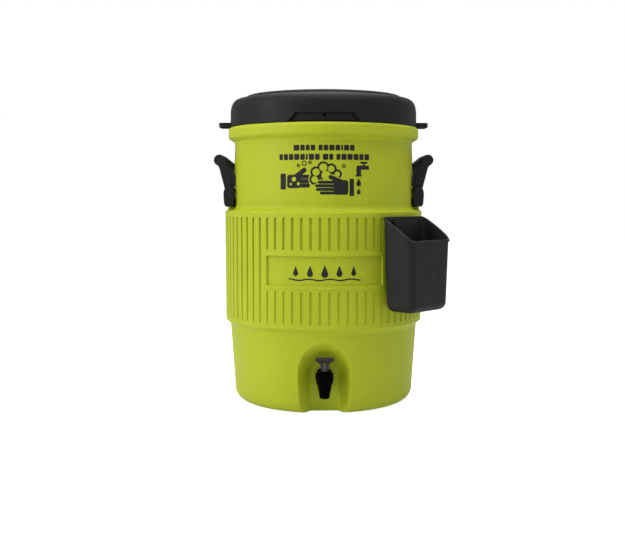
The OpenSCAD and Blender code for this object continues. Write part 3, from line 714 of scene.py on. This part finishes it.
def bracket(name):
    z0 = bracket_lo[2]
    ear_corners = [(px - 7.2, z0, 1.2), (px + 5.8, z0 + 0.5, 2.5), (px + 8.0, z0 + 5.2, 4),
                   *offset(PIVOT, [(9.1, -4, 6), (8.0, 3.4, 5), (2.6, 7.1, 5), (-4.2, 5.8, 5), (-8.5, 0, 4)])]
    body = None
    for s in (-1, 1):
        ear = prism("ear", ring_fillet(ear_corners, 4), 42.35, 50.0, 1.2, 3, UPRIGHT, 35)
        if s < 0:
            flipped(ear, (0, 1, 0))
        body = ear if body is None else boolean(body, ear, "UNION")
    bridge = box_outline(px - 7.3, px - 1.85, z0, z0 + 13.3, 1.2, 3)
    boolean(body, prism("bridge", bridge, -44, 44, 0.6, 2, UPRIGHT), "UNION")
    plate = box_outline(px - 9, 148.2, z0, z0 + 29.3, 1.4, 3)
    boolean(body, prism("plate", plate, -32.2, 32.2, 0.8, 2, UPRIGHT), "UNION")
    for y in (-18, 18):
        for z in (318.5, 328.5):
            screw_hole = [(0, 140), (2.2, 140), (2.2, 148.25), (4.3, 148.25), (4.3, 152), (0, 152)]
            boolean(body, turned(screw_hole, 28, ALONG_X, (0, y, z)), "DIFFERENCE")
    wall = [(0, 300), (149.3, 300), (149.3, 313.9), (147.62, 314), (147.05, 344), (147.05, 360), (0, 360)]
    boolean(body, lathe("clear", wall, 160), "DIFFERENCE")
    boolean(body, rod(2.52, 47.2, 32, ALONG_Y, (px, 0, pz)), "DIFFERENCE")
    body.name = name
    return body


for side, s in (("right", 1), ("left", -1)):
    for maker, part, body in ((moulded_handle, "handle", f"{side}_handle"),
                              (bracket, "handle_bracket", "jug")):
        obj = maker(f"{side}_{part}_moulding")
        if s < 0:
            obj.data.transform(Matrix.Scale(-1, 4, (1, 0, 0)))
        clean(obj)
        piece(shade(obj, 32), body, "black_plastic", stands_for=(f"{side}_{part}",))


# ---------------------------------------------------------------- bin
BIN_TOP, BIN_FLOOR, BIN_EDGE = 298.5, bin_lo[2], 12.0
BIN_W, BIN_DEPTH, BIN_CORNER = (91.5, 105.0), (53.5, 55.8), 11.0    # above the bottom edge, and at the top
BEAD, BEAD_H = 1.8, 3.2            # rim bead: how far it stands out, and its height


def bin_section(z, d, tuck=0.0):
    """Width, front, back and corner radius of the bin at height z, drawn back by d."""
    t = max((z - BIN_FLOOR - BIN_EDGE) / (BIN_TOP + 6 - BIN_FLOOR - BIN_EDGE), 0.0)
    width = BIN_W[0] + (BIN_W[1] - BIN_W[0]) * t - 2 * (d + tuck)
    depth = BIN_DEPTH[0] + (BIN_DEPTH[1] - BIN_DEPTH[0]) * t
    return width, BIN_BACK_Y - depth + d + tuck, BIN_BACK_Y - d - tuck, max(BIN_CORNER - d - tuck * 0.8, 2.5)


def bin_rim_z(y):
    """Height of the rim: level along the back, then falling to the front and steepening a little."""
    q = np.clip((BIN_BACK_Y - 1.5 - y) / (BIN_DEPTH[0] - 0.5), 0, 1)
    return BIN_TOP - 35 * (0.85 * q + 0.15 * q ** 3)


def bin_ring(width, front, back, rad, per_side=9, per_corner=8):
    """Rounded rectangle in plan, with as many points on each side and corner whatever its size."""
    x1, y0, y1 = width / 2 - rad, front + rad, back - rad
    pts = []
    for cx, cy, start in ((x1, y0, -90), (x1, y1, 0), (-x1, y1, 90), (-x1, y0, 180)):
        angles = [math.radians(start + 90 * k / per_corner) for k in range(per_corner + 1)]
        arc = [np.array([cx + rad * math.cos(a), cy + rad * math.sin(a)]) for a in angles]
        if pts:
            pts += [pts[-1] + (arc[0] - pts[-1]) * k / per_side for k in range(1, per_side)]
        pts += arc
    return np.array(pts + [pts[-1] + (pts[0] - pts[-1]) * k / per_side for k in range(1, per_side)])


def bin_moulding():
    verts, rings = [], []

    def add(points, z):
        z = np.broadcast_to(z, (len(points),))
        rings.append((len(verts), len(points)))
        verts.extend([(p[0], p[1], h) for p, h in zip(points, z)])

    # outside, from the middle of the underside up to the rim
    for shrink in (0.35, 0.75):
        w, f, b, r = bin_section(BIN_FLOOR, 0, BIN_EDGE)
        mid = (f + b) / 2
        pts = bin_ring(w, f, b, r)
        add(np.column_stack([pts[:, 0] * shrink, mid + (pts[:, 1] - mid) * shrink]), BIN_FLOOR)
    for a in range(90, -1, -10):
        rad = math.radians(a)
        ring = bin_ring(*bin_section(0, 0, BIN_EDGE * (1 - math.cos(rad))))
        add(ring, BIN_FLOOR + BIN_EDGE - BIN_EDGE * math.sin(rad))
    steps = 16

    def side(share, d, drop=0.0):
        base = bin_ring(*bin_section(BIN_FLOOR + BIN_EDGE, d))
        top = bin_ring(*bin_section(BIN_TOP, d))
        rim = bin_rim_z(top[:, 1]) - drop
        z0 = BIN_FLOOR + BIN_EDGE
        z = z0 + (rim - z0) * share
        pts = base + (top - base) * ((z - z0) / (BIN_TOP - z0))[:, None]
        pts[:, 1] = np.minimum(pts[:, 1], BIN_BACK_Y)
        add(pts, z)

    for k in range(1, steps):
        side(k / steps, 0)
    side(1, 0, BEAD_H + 0.6)
    for out, drop in ((0.4, 0.25), (0.85, 0.0), (1.0, -0.6), (1.0, -1.5), (0.85, -2.2), (0.5, -2.9),
                      (0.1, -BEAD_H)):
        side(1, -BEAD * out, BEAD_H + drop)
    for d, drop in ((1.3, 0.0), (1.9, 0.4), (2.2, 1.2)):
        side(1, d, drop)
    for k in range(steps - 1, -1, -1):
        side(k / steps, 2.2)
    for a in range(10, 91, 16):
        rad = math.radians(a)
        w, f, b, r = bin_section(0, 2.2, (BIN_EDGE - 2.2) * (1 - math.cos(rad)))
        add(bin_ring(w, f, b, r), BIN_FLOOR + BIN_EDGE - (BIN_EDGE - 2.2) * math.sin(rad))
    for shrink in (0.75, 0.35):
        mid = (f + b) / 2
        pts = bin_ring(w, f, b, r)
        add(np.column_stack([pts[:, 0] * shrink, mid + (pts[:, 1] - mid) * shrink]), BIN_FLOOR + 2.2)
    n = rings[0][1]
    faces = grid_faces(len(rings), n)
    for ring, z in ((0, BIN_FLOOR), (len(rings) - 1, BIN_FLOOR + 2.2)):
        first = rings[ring][0]
        mid = np.mean([verts[first + j] for j in range(n)], axis=0)
        verts.append((mid[0], mid[1], z))
        faces += fan(range(first, first + n), len(verts) - 1)
    body = clean(make("bin_moulding", verts, faces))
    # the hanging pocket at the back, and its mouth for the bracket's tongue
    boolean(body, prism("block", box_outline(-28.7, 28.7, -173.1, -166.2), 205.8, 292.2, 1.2, 3), "UNION")
    boolean(body, prism("pocket", box_outline(-26.5, 26.5, -170.9, -166.9), 208, 290, 0), "DIFFERENCE")
    boolean(body, prism("mouth", box_outline(-26.5, 26.5, -168, -160), 207.9, 254.1, 0), "DIFFERENCE")
    return body


bin_obj = bin_moulding()
bin_obj.data.transform(Matrix.Rotation(BIN_TURN, 4, "Z"))
piece(shade(clean(bin_obj), 35), "bin", "black_plastic", stands_for=("bin",))

# ---------------------------------------------------------------- tap
SEAT_RING_Z, SHANK_Z = 44.0, 54    # floor of the tap's body, and the height of its shank
LEVER_Z = 72.0                     # height of the lever's pivot
tap = lathe("tap_body_moulding", spindle(SEAT_RING_Z, [
    (5.0, SEAT_RING_Z, 0), (5.0, SPOUT_Z + 0.1, 0.6), (6.7, SPOUT_Z, 0.5), (7.7, SPOUT_Z + 1.2, 1.0),
    (8.0, SPOUT_Z + 4, 3), (10.7, 45.2, 2.0), (12.5, 49.0, 1.6), (13.3, 53, 3), (13.3, 58.5, 2),
    (13.1, 62.3, 0.5), (8.6, 62.4, 0.3), (8.6, 60.3, 0)], 60.3), 72, (0, TAP_Y))
shank = spindle(-136, [
    (9, -136, 0), (9, -122.6, 0.8), (10.5, -121.4, 0.8), (13.2, -120.8, 1.2), (13.9, -119.6, 0.8),
    (13.9, -117.5, 0.3), (9, -117.45, 0.2), (9, -89.6, 0.6), (8, -88.5, 0.4), (5.5, -88.5, 0.2),
    (5.5, -130, 0)], -130, 3)
boolean(tap, turned(shank, 56, ALONG_Y, (0, 0, SHANK_Z)), "UNION")
boolean(tap, lathe("top", [(0, 62.4), (13.4, 62.4), (13.4, 66), (0, 66)], 72, (0, TAP_Y)), "DIFFERENCE")
piece(shade(clean(tap), 40), "jug", "jet_plastic", stands_for=("spigot_body",))
cap = lathe("tap_bonnet_moulding", fillet([
    (2.46, 60.3, 0), (8.4, 60.3, 0.3), (8.4, 62.5, 0.1), (12.9, 62.6, 0.6), (12.6, 63.9, 1.4),
    (8.4, 65.8, 1.2), (2.9, 66, 0.4), (2.46, 65.6, 0)], 4), 72, (0, TAP_Y), closed=True)
piece(shade(cap, 40), "jug", "jet_plastic", stands_for=("spigot_bonnet",))

stem = lathe("tap_stem_moulding", spindle(47.25, [
    (5.9, 47.25, 0.4), (5.9, 48.5, 0.4), (2.4, 48.55, 0.3), (2.4, 66.6, 0.6), (2.75, 68.5, 1.2),
    (2.75, 75.2, 0.6), (1.6, 75.5, 0)], 75.5, 4), 40, (0, TAP_Y))
for x0, x1 in ((-6, -2.75), (2.75, 6)):
    boolean(stem, prism("flat", box_outline(x0, x1, TAP_Y - 6, TAP_Y + 6), 66.5, 78, 0), "DIFFERENCE")
piece(shade(clean(stem), 40), "stem", "grey_plastic", stands_for=("spigot_stem",))


def tap_spring():
    """Coil round the stem, from the CAD spring's box."""
    lo, hi = mm_box("spigot_spring")
    wire, turns, per_turn, around = 0.45, 5, 48, 10
    mean_r = (hi[0] - lo[0]) / 2 - wire
    rise = hi[2] - lo[2] - 2 * wire
    verts = []
    for i in range(turns * per_turn + 1):
        a = 2 * math.pi * i / per_turn
        z = lo[2] + wire + rise * i / (turns * per_turn)
        for b in np.linspace(0, 2 * math.pi, around, endpoint=False):
            r = mean_r + wire * math.cos(b)
            verts.append((r * math.cos(a), TAP_Y + r * math.sin(a), z + wire * math.sin(b)))
    faces = grid_faces(turns * per_turn + 1, around)
    faces += [tuple(range(around)), tuple(range(len(verts) - around, len(verts)))[::-1]]
    return clean(make("tap_spring_coil", verts, faces), 0.000002), lo[2], hi[2]


spring, spring_lo, spring_hi = tap_spring()
piece(spring, "jug", "steel", stands_for=("spigot_spring",))
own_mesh(spring)


def tap_lever():
    """Fork with two cams under a broad T-shaped paddle. The fork's outline is drawn in Y and Z."""
    sideways = Matrix(((0, 0, 1, 0), (1, 0, 0, TAP_Y * MM), (0, 1, 0, LEVER_Z * MM), (0, 0, 0, 1)))
    upright = Matrix(((1, 0, 0, 0), (0, 0, 1, TAP_Y * MM), (0, 1, 0, LEVER_Z * MM), (0, 0, 0, 1)))
    cam = [(-6.97 + 5.75 * math.cos(a), 5.75 * math.sin(a)) for a in np.radians(np.arange(160, 276, 11.5))]
    outline = [(-11.0, 4.0), (-12.3, 1.6), *cam, (-3.0, -4.4), (1.0, -4.3), (3.6, -2.4), (4.4, 0.4),
               (3.8, 4.2), (2.6, 8.6), (-5.7, 8.6), (-8.4, 6.4)]
    body = None
    for x0, x1 in ((-6.6, -3.0), (3.0, 6.6)):
        fork = prism("fork", outline, x0, x1, 0.5, 2, sideways, 40)
        for v in fork.data.vertices:
            low = np.clip((LEVER_Z + 2.0 - v.co.z / MM) / 7.0, 0, 1)
            v.co.x *= 1 - 0.22 * low * max(0.0, (abs(v.co.x) / MM - 3.2) / 3.4)
        body = fork if body is None else boolean(body, fork, "UNION")
    web = ring_fillet([(-6.4, 4.0, 0.8), (6.4, 4.0, 0.8), (7.2, 5.6, 1.2), (13.9, 10.4, 0.8),
                       (13.9, 14.9, 0.7), (-13.9, 14.9, 0.7), (-13.9, 10.4, 0.8), (-7.2, 5.6, 1.2)], 4)
    boolean(body, prism("web", web, -3.8, -1.3, 0.5, 3, upright), "UNION")
    notch = ring_fillet([(-1.5, 4, 0.3), (1.5, 4, 0.3), (1.5, 7.4, 1.2), (-1.5, 7.4, 1.2)], 3)
    boolean(body, prism("notch", notch, -6, 0, 0, 2, upright), "DIFFERENCE")
    lip = ring_fillet([(-13.9, 10.2, 0.6), (13.9, 10.2, 0.6), (13.9, 15.0, 0.8), (-13.9, 15.0, 0.8)], 3)
    boolean(body, prism("lip", lip, -5.6, -1.2, 0.6, 3, upright), "UNION")
    boolean(body, rod(1.52, 8, 24, ALONG_X, (0, TAP_Y, LEVER_Z)), "DIFFERENCE")
    body.name = "tap_lever_moulding"
    return body


piece(shade(clean(tap_lever()), 35), "lever", "lever_plastic", ("spigot_lever",))

# ---------------------------------------------------------------- printed graphics: thin raised ink
# Each shape is a signed distance in millimetres (below 0 is ink) over x across the front and z up.
def capsule(x, z, x0, z0, x1, z1, rad):
    px_, pz_ = x - x0, z - z0
    dx, dz = x1 - x0, z1 - z0
    t = np.clip((px_ * dx + pz_ * dz) / (dx * dx + dz * dz + 1e-9), 0, 1)
    return np.hypot(px_ - t * dx, pz_ - t * dz) - rad


def circle(x, z, cx, cz, rad):
    return np.hypot(x - cx, z - cz) - rad


def block_shape(x, z, x0, z0, x1, z1, rad):
    qx = np.abs(x - (x0 + x1) / 2) - (x1 - x0) / 2 + rad
    qz = np.abs(z - (z0 + z1) / 2) - (z1 - z0) / 2 + rad
    return np.hypot(np.maximum(qx, 0), np.maximum(qz, 0)) + np.minimum(np.maximum(qx, qz), 0) - rad


def drop_shape(x, z, cx, cz, rad, tall):
    """Water drop: a circle drawn out to a point above it."""
    b = (rad - 0.25) / tall
    a = math.sqrt(1 - b * b)
    px_, pz_ = np.abs(x - cx), z - cz
    along = a * pz_ - b * px_
    return np.where(along < 0, np.hypot(px_, pz_) - rad,
                    np.where(along > a * tall, np.hypot(px_, pz_ - tall) - 0.25, a * px_ + b * pz_ - rad))


def ink(name, shape, x0, x1, z0, z1, cell, surface, raise_by=0.18):
    """Cuts the shape out of a fine grid, bends it over the surface (x, z) -> point and gives it thickness."""
    nx, nz = int((x1 - x0) / cell) + 1, int((z1 - z0) / cell) + 1
    gx_, gz_ = np.meshgrid(x0 + cell * np.arange(nx), z0 + cell * np.arange(nz), indexing="ij")
    d = shape(gx_, gz_)
    keep, verts, faces = {}, [], []

    def point(x, z):
        key = (round(x * 500), round(z * 500))
        if key not in keep:
            keep[key] = len(verts)
            verts.append(surface(x, z))
        return keep[key]

    for i in range(nx - 1):
        for j in range(nz - 1):
            corners = [(i, j), (i + 1, j), (i + 1, j + 1), (i, j + 1)]
            values = [d[c] for c in corners]
            if min(values) >= 0:
                continue
            ring = []
            for k in range(4):
                (a, b), (va, vb) = (corners[k], corners[(k + 1) % 4]), (values[k], values[(k + 1) % 4])
                if va < 0:
                    ring.append(point(gx_[a], gz_[a]))
                if (va < 0) != (vb < 0):
                    t = va / (va - vb)
                    ring.append(point(gx_[a] + (gx_[b] - gx_[a]) * t, gz_[a] + (gz_[b] - gz_[a]) * t))
            ring = [p for n, p in enumerate(ring) if p != ring[n - 1]]
            if len(ring) >= 3:
                faces.append(tuple(ring))
    obj = make(name, verts, faces)
    bm = bmesh.new()
    bm.from_mesh(obj.data)
    bmesh.ops.dissolve_degenerate(bm, edges=bm.edges, dist=0.000002)
    bm.to_mesh(obj.data)
    bm.free()
    thick = obj.modifiers.new("thickness", "SOLIDIFY")
    thick.thickness = raise_by * MM
    thick.offset = 1.0
    apply_mods(obj)
    clean(obj, 0.000001)
    return shade(obj, 40)


def on_body(x, z):
    r = UPPER_R - 1.9 * (z - 315.5) / 102 + 0.01
    return r * math.sin(x / r), -r * math.cos(x / r), z


def on_panel(x, z):
    r = 157.97
    return r * math.sin(x / r), -r * math.cos(x / r), z


def word_row(z0, z1, widths, gap, start, word_gap):
    """Rounded blocks in the places of printed words."""
    def shape(x, z):
        d = np.full_like(x, 99.0)
        at = start
        for w in widths:
            if w == 0:
                at += word_gap
                continue
            d = np.minimum(d, block_shape(x, z, at, z0, at + w, z1, 1.5))
            at += w + gap
        return d
    return shape


def pictogram(x, z):
    """Two soapy hands and a tap with drops, on a canvas 141 wide and 54 high, centred on x 0 and z 355."""
    z = z - 355.0
    # left hand, palm up: sleeve, palm, thumb and three fingers that run in under the lather
    hand = block_shape(x, z, -69, -15, -60, 9, 1.5)
    palm = smin(block_shape(x, z, -58, -13, -36, 7, 4.0), capsule(x, z, -44, 4, -31, 14, 3.6), 2.0)
    for rise, reach_x in ((4.0, -25), (-2.6, -22), (-9.2, -25)):
        palm = smin(palm, capsule(x, z, -42, rise, reach_x, rise, 3.0), 0.6)
    hand = np.minimum(hand, palm)
    for cx, cz, rad in ((-47, 0.5, 3.6), (-40, -6.5, 2.5), (-52, -7, 2.0)):
        hand = np.maximum(hand, -circle(x, z, cx, cz, rad))
    # lather: an outline of bubbles round a clear middle
    foam = np.full_like(x, 99.0)
    for cx, cz, rad in ((-13, 11, 8.5), (-2, 18, 9), (10, 16, 8), (19, 8, 7), (-15, 0, 8), (2, 6, 10),
                        (14, 2, 8)):
        foam = np.minimum(foam, circle(x, z, cx, cz, rad))
    line = np.abs(foam + 1.5) - 1.5
    # right hand, palm down in front of the lather: sleeve, back of the hand, thumb and four fingers
    front = block_shape(x, z, 38, -25, 45, 1, 1.5)
    back = smin(block_shape(x, z, 14, -23, 36, -1, 4.0), capsule(x, z, 24, -3, 9, 3.5, 3.2), 2.0)
    for rise, reach_x in ((-4.2, -8), (-9.6, -12), (-15.0, -11), (-20.4, -5)):
        back = np.minimum(back, capsule(x, z, 22, rise, reach_x, rise, 2.25))
    front = np.minimum(front, back)
    halo = 1.5 - front
    ink_d = np.maximum(np.maximum(hand, 1.5 - foam), halo)
    ink_d = np.minimum(ink_d, np.maximum(line, halo))
    ink_d = np.minimum(ink_d, front)
    for cx, cz, rad in ((-31, 24, 3.2), (-22, 25.5, 1.9), (29, 20, 2.4), (-40, 21, 1.8)):
        ink_d = np.minimum(ink_d, np.abs(circle(x, z, cx, cz, rad)) - 0.75)
    # tap with a round handle, and drops under its mouth
    spout = np.minimum(block_shape(x, z, 50, 15, 70, 21, 1.2), block_shape(x, z, 49, 7, 56.5, 20.9, 3.0))
    spout = np.minimum(spout, block_shape(x, z, 47.8, 4.5, 57.7, 7.6, 1.0))
    spout = np.minimum(spout, block_shape(x, z, 59.8, 20, 62.6, 24.5, 0.4))
    spout = np.minimum(spout, capsule(x, z, 56.5, 25.3, 66, 25.3, 1.5))
    ink_d = np.minimum(ink_d, spout)
    ink_d = np.minimum(ink_d, drop_shape(x, z, 52.7, -6.5, 3.9, 8.0))
    return np.minimum(ink_d, drop_shape(x, z, 52.7, -19.5, 3.0, 6.2))


def drop_row(x, z):
    """Five drops over a wave in the label panel, in place of a mark."""
    d = np.full_like(x, 99.0)
    for k in range(5):
        tall = 13.5 - 1.6 * abs(k - 2)
        d = np.minimum(d, drop_shape(x, z, (k - 2) * 22.0, 218.5 - 0.38 * tall, 0.38 * tall, tall))
    wave = np.abs(z - 205.2 - 1.0 * np.sin(x / 5.0)) - 1.0
    return np.minimum(d, np.maximum(wave, np.abs(x) - 55))


words_top = word_row(398.5, 407.0, (9, 7, 6, 7, 0, 6, 7, 8, 7, 3, 8, 7), 1.5, -47.5, 3.4)
words_low = word_row(384.4, 393.4, (6, 7, 7, 8, 7, 3, 8, 7, 0, 8, 6, 0, 6, 8, 8, 8, 7, 8), 1.5, -71.0, 3.4)

CELL = 0.5
for name, shape, span, surface in (
        ("print_words_upper", words_top, (-50, 50, 396, 409), on_body),
        ("print_words_lower", words_low, (-73, 73, 382, 396), on_body),
        ("print_pictogram", pictogram, (-72, 72, 326, 384), on_body),
        ("print_drops", drop_row, (-58, 58, 202, 230), on_panel)):
    piece(ink(name, shape, *span, CELL, surface), "jug", "ink")


def bin_emblem():
    """Plain round badge with a drop, slightly raised from the front of the bin."""
    def shape(x, z):
        ring = np.abs(circle(x, z, 3, 214.5, 16.5)) - 0.8
        return np.minimum(ring, drop_shape(x, z, 3, 210.5, 6.0, 12.0))

    def on_bin(x, z):
        width, front, back, rad = bin_section(z, 0)
        return x, front - 0.02, z
    return ink("bin_badge", shape, -15, 21, 196, 233, 0.6, on_bin, 0.3)


badge = bin_emblem()
badge.data.transform(Matrix.Rotation(BIN_TURN, 4, "Z"))
piece(badge, "bin", "black_plastic")

# ---------------------------------------------------------------- CAD nodes that stay shown
wanted = {part["node"]: part["material_slot"] for part in frame["record"]["subparts"]}
for node, obj in frame["nodes"].items():
    obj.data.materials.clear()
    obj.data.materials.append(M[wanted[node]])

# ---------------------------------------------------------------- floor, light and camera
BOUNCE, FLOOR_GLOW, WORLD_FILL = 0.24, 0.85, 0.42    # strengths of light
CAMERA_REACH, CAMERA_Z = 1.552, 0.3295               # metres

bpy.ops.mesh.primitive_plane_add(size=8, location=(0, 1, 0))
floor = bpy.context.object
floor.name = "floor"
ground = bpy.data.materials.new("ground")
ground.use_nodes = True
tree = ground.node_tree
link = tree.links.new
plain = tree.nodes["Principled BSDF"]
plain.inputs["Roughness"].default_value = 0.8
plain.inputs["Specular IOR Level"].default_value = 0.0
cloud = add_node(tree, "ShaderNodeTexNoise", Scale=30)
tint = add_node(tree, "ShaderNodeValToRGB")
for stop, grey in zip(tint.color_ramp.elements, (0.6, 0.64)):
    stop.color = (grey, grey, grey, 1)
link(cloud.outputs["Fac"], tint.inputs["Fac"])
link(tint.outputs["Color"], plain.inputs["Base Color"])
pick = tree.nodes.new("ShaderNodeMixShader")
link(tree.nodes.new("ShaderNodeLightPath").outputs["Is Camera Ray"], pick.inputs["Fac"])
for slot, strength in ((1, BOUNCE), (2, FLOOR_GLOW)):    # the light it gives off, and what the camera sees
    glow = add_node(tree, "ShaderNodeEmission", Strength=strength)
    lit = tree.nodes.new("ShaderNodeAddShader")
    link(plain.outputs["BSDF"], lit.inputs[0])
    link(glow.outputs["Emission"], lit.inputs[1])
    link(lit.outputs["Shader"], pick.inputs[slot])
link(pick.outputs["Shader"], tree.nodes["Material Output"].inputs["Surface"])
floor.data.materials.append(ground)

world = bpy.data.worlds.new("studio")
bpy.context.scene.world = world
world.use_nodes = True
tree = world.node_tree
link = tree.links.new
tree.nodes.clear()
mixer = tree.nodes.new("ShaderNodeMixShader")
link(tree.nodes.new("ShaderNodeLightPath").outputs["Is Camera Ray"], mixer.inputs["Fac"])
for slot, strength in ((1, WORLD_FILL), (2, 1.0)):
    sky = add_node(tree, "ShaderNodeBackground", Color=(1, 1, 1, 1), Strength=strength)
    link(sky.outputs["Background"], mixer.inputs[slot])
link(mixer.outputs["Shader"], tree.nodes.new("ShaderNodeOutputWorld").inputs["Surface"])


def area(name, at, aim, size, power):
    data = bpy.data.lights.new(name, "AREA")
    data.shape = "RECTANGLE"
    data.size, data.size_y = size
    data.energy = power
    lamp = bpy.data.objects.new(name, data)
    bpy.context.scene.collection.objects.link(lamp)
    lamp.location = at
    lamp.rotation_euler = (Vector(aim) - Vector(at)).to_track_quat("-Z", "Y").to_euler()


area("key", (-2.03, -0.96, 1.15), (0, 0, 0.25), (0.9, 1.3), 26.5)
area("side", (1.9, -0.9, 0.5), (0, 0, 0.2), (0.8, 1.0), 1.2)
area("front", (0.15, -1.0, 2.1), (0, 0, 0.42), (1.6, 0.8), 10)
area("top", (0.0, 0.1, 1.6), (0, 0, 0.45), (1.2, 1.2), 21)

scene = bpy.context.scene
scene.view_settings.view_transform = "Standard"
scene.view_settings.look = "None"
cam_data = bpy.data.cameras.new("camera")
cam = bpy.data.objects.new("camera", cam_data)
scene.collection.objects.link(cam)
cam_data.sensor_width = 36
cam_data.lens = 54.0
turn = math.radians(-0.7)
cam.location = (math.sin(turn) * CAMERA_REACH, -math.cos(turn) * CAMERA_REACH, CAMERA_Z)
cam.rotation_euler = (math.radians(90), 0, turn)
cam_data.shift_x = -0.0175
cam_data.shift_y = -0.1138
scene.camera = cam

bpy.context.view_layer.update()
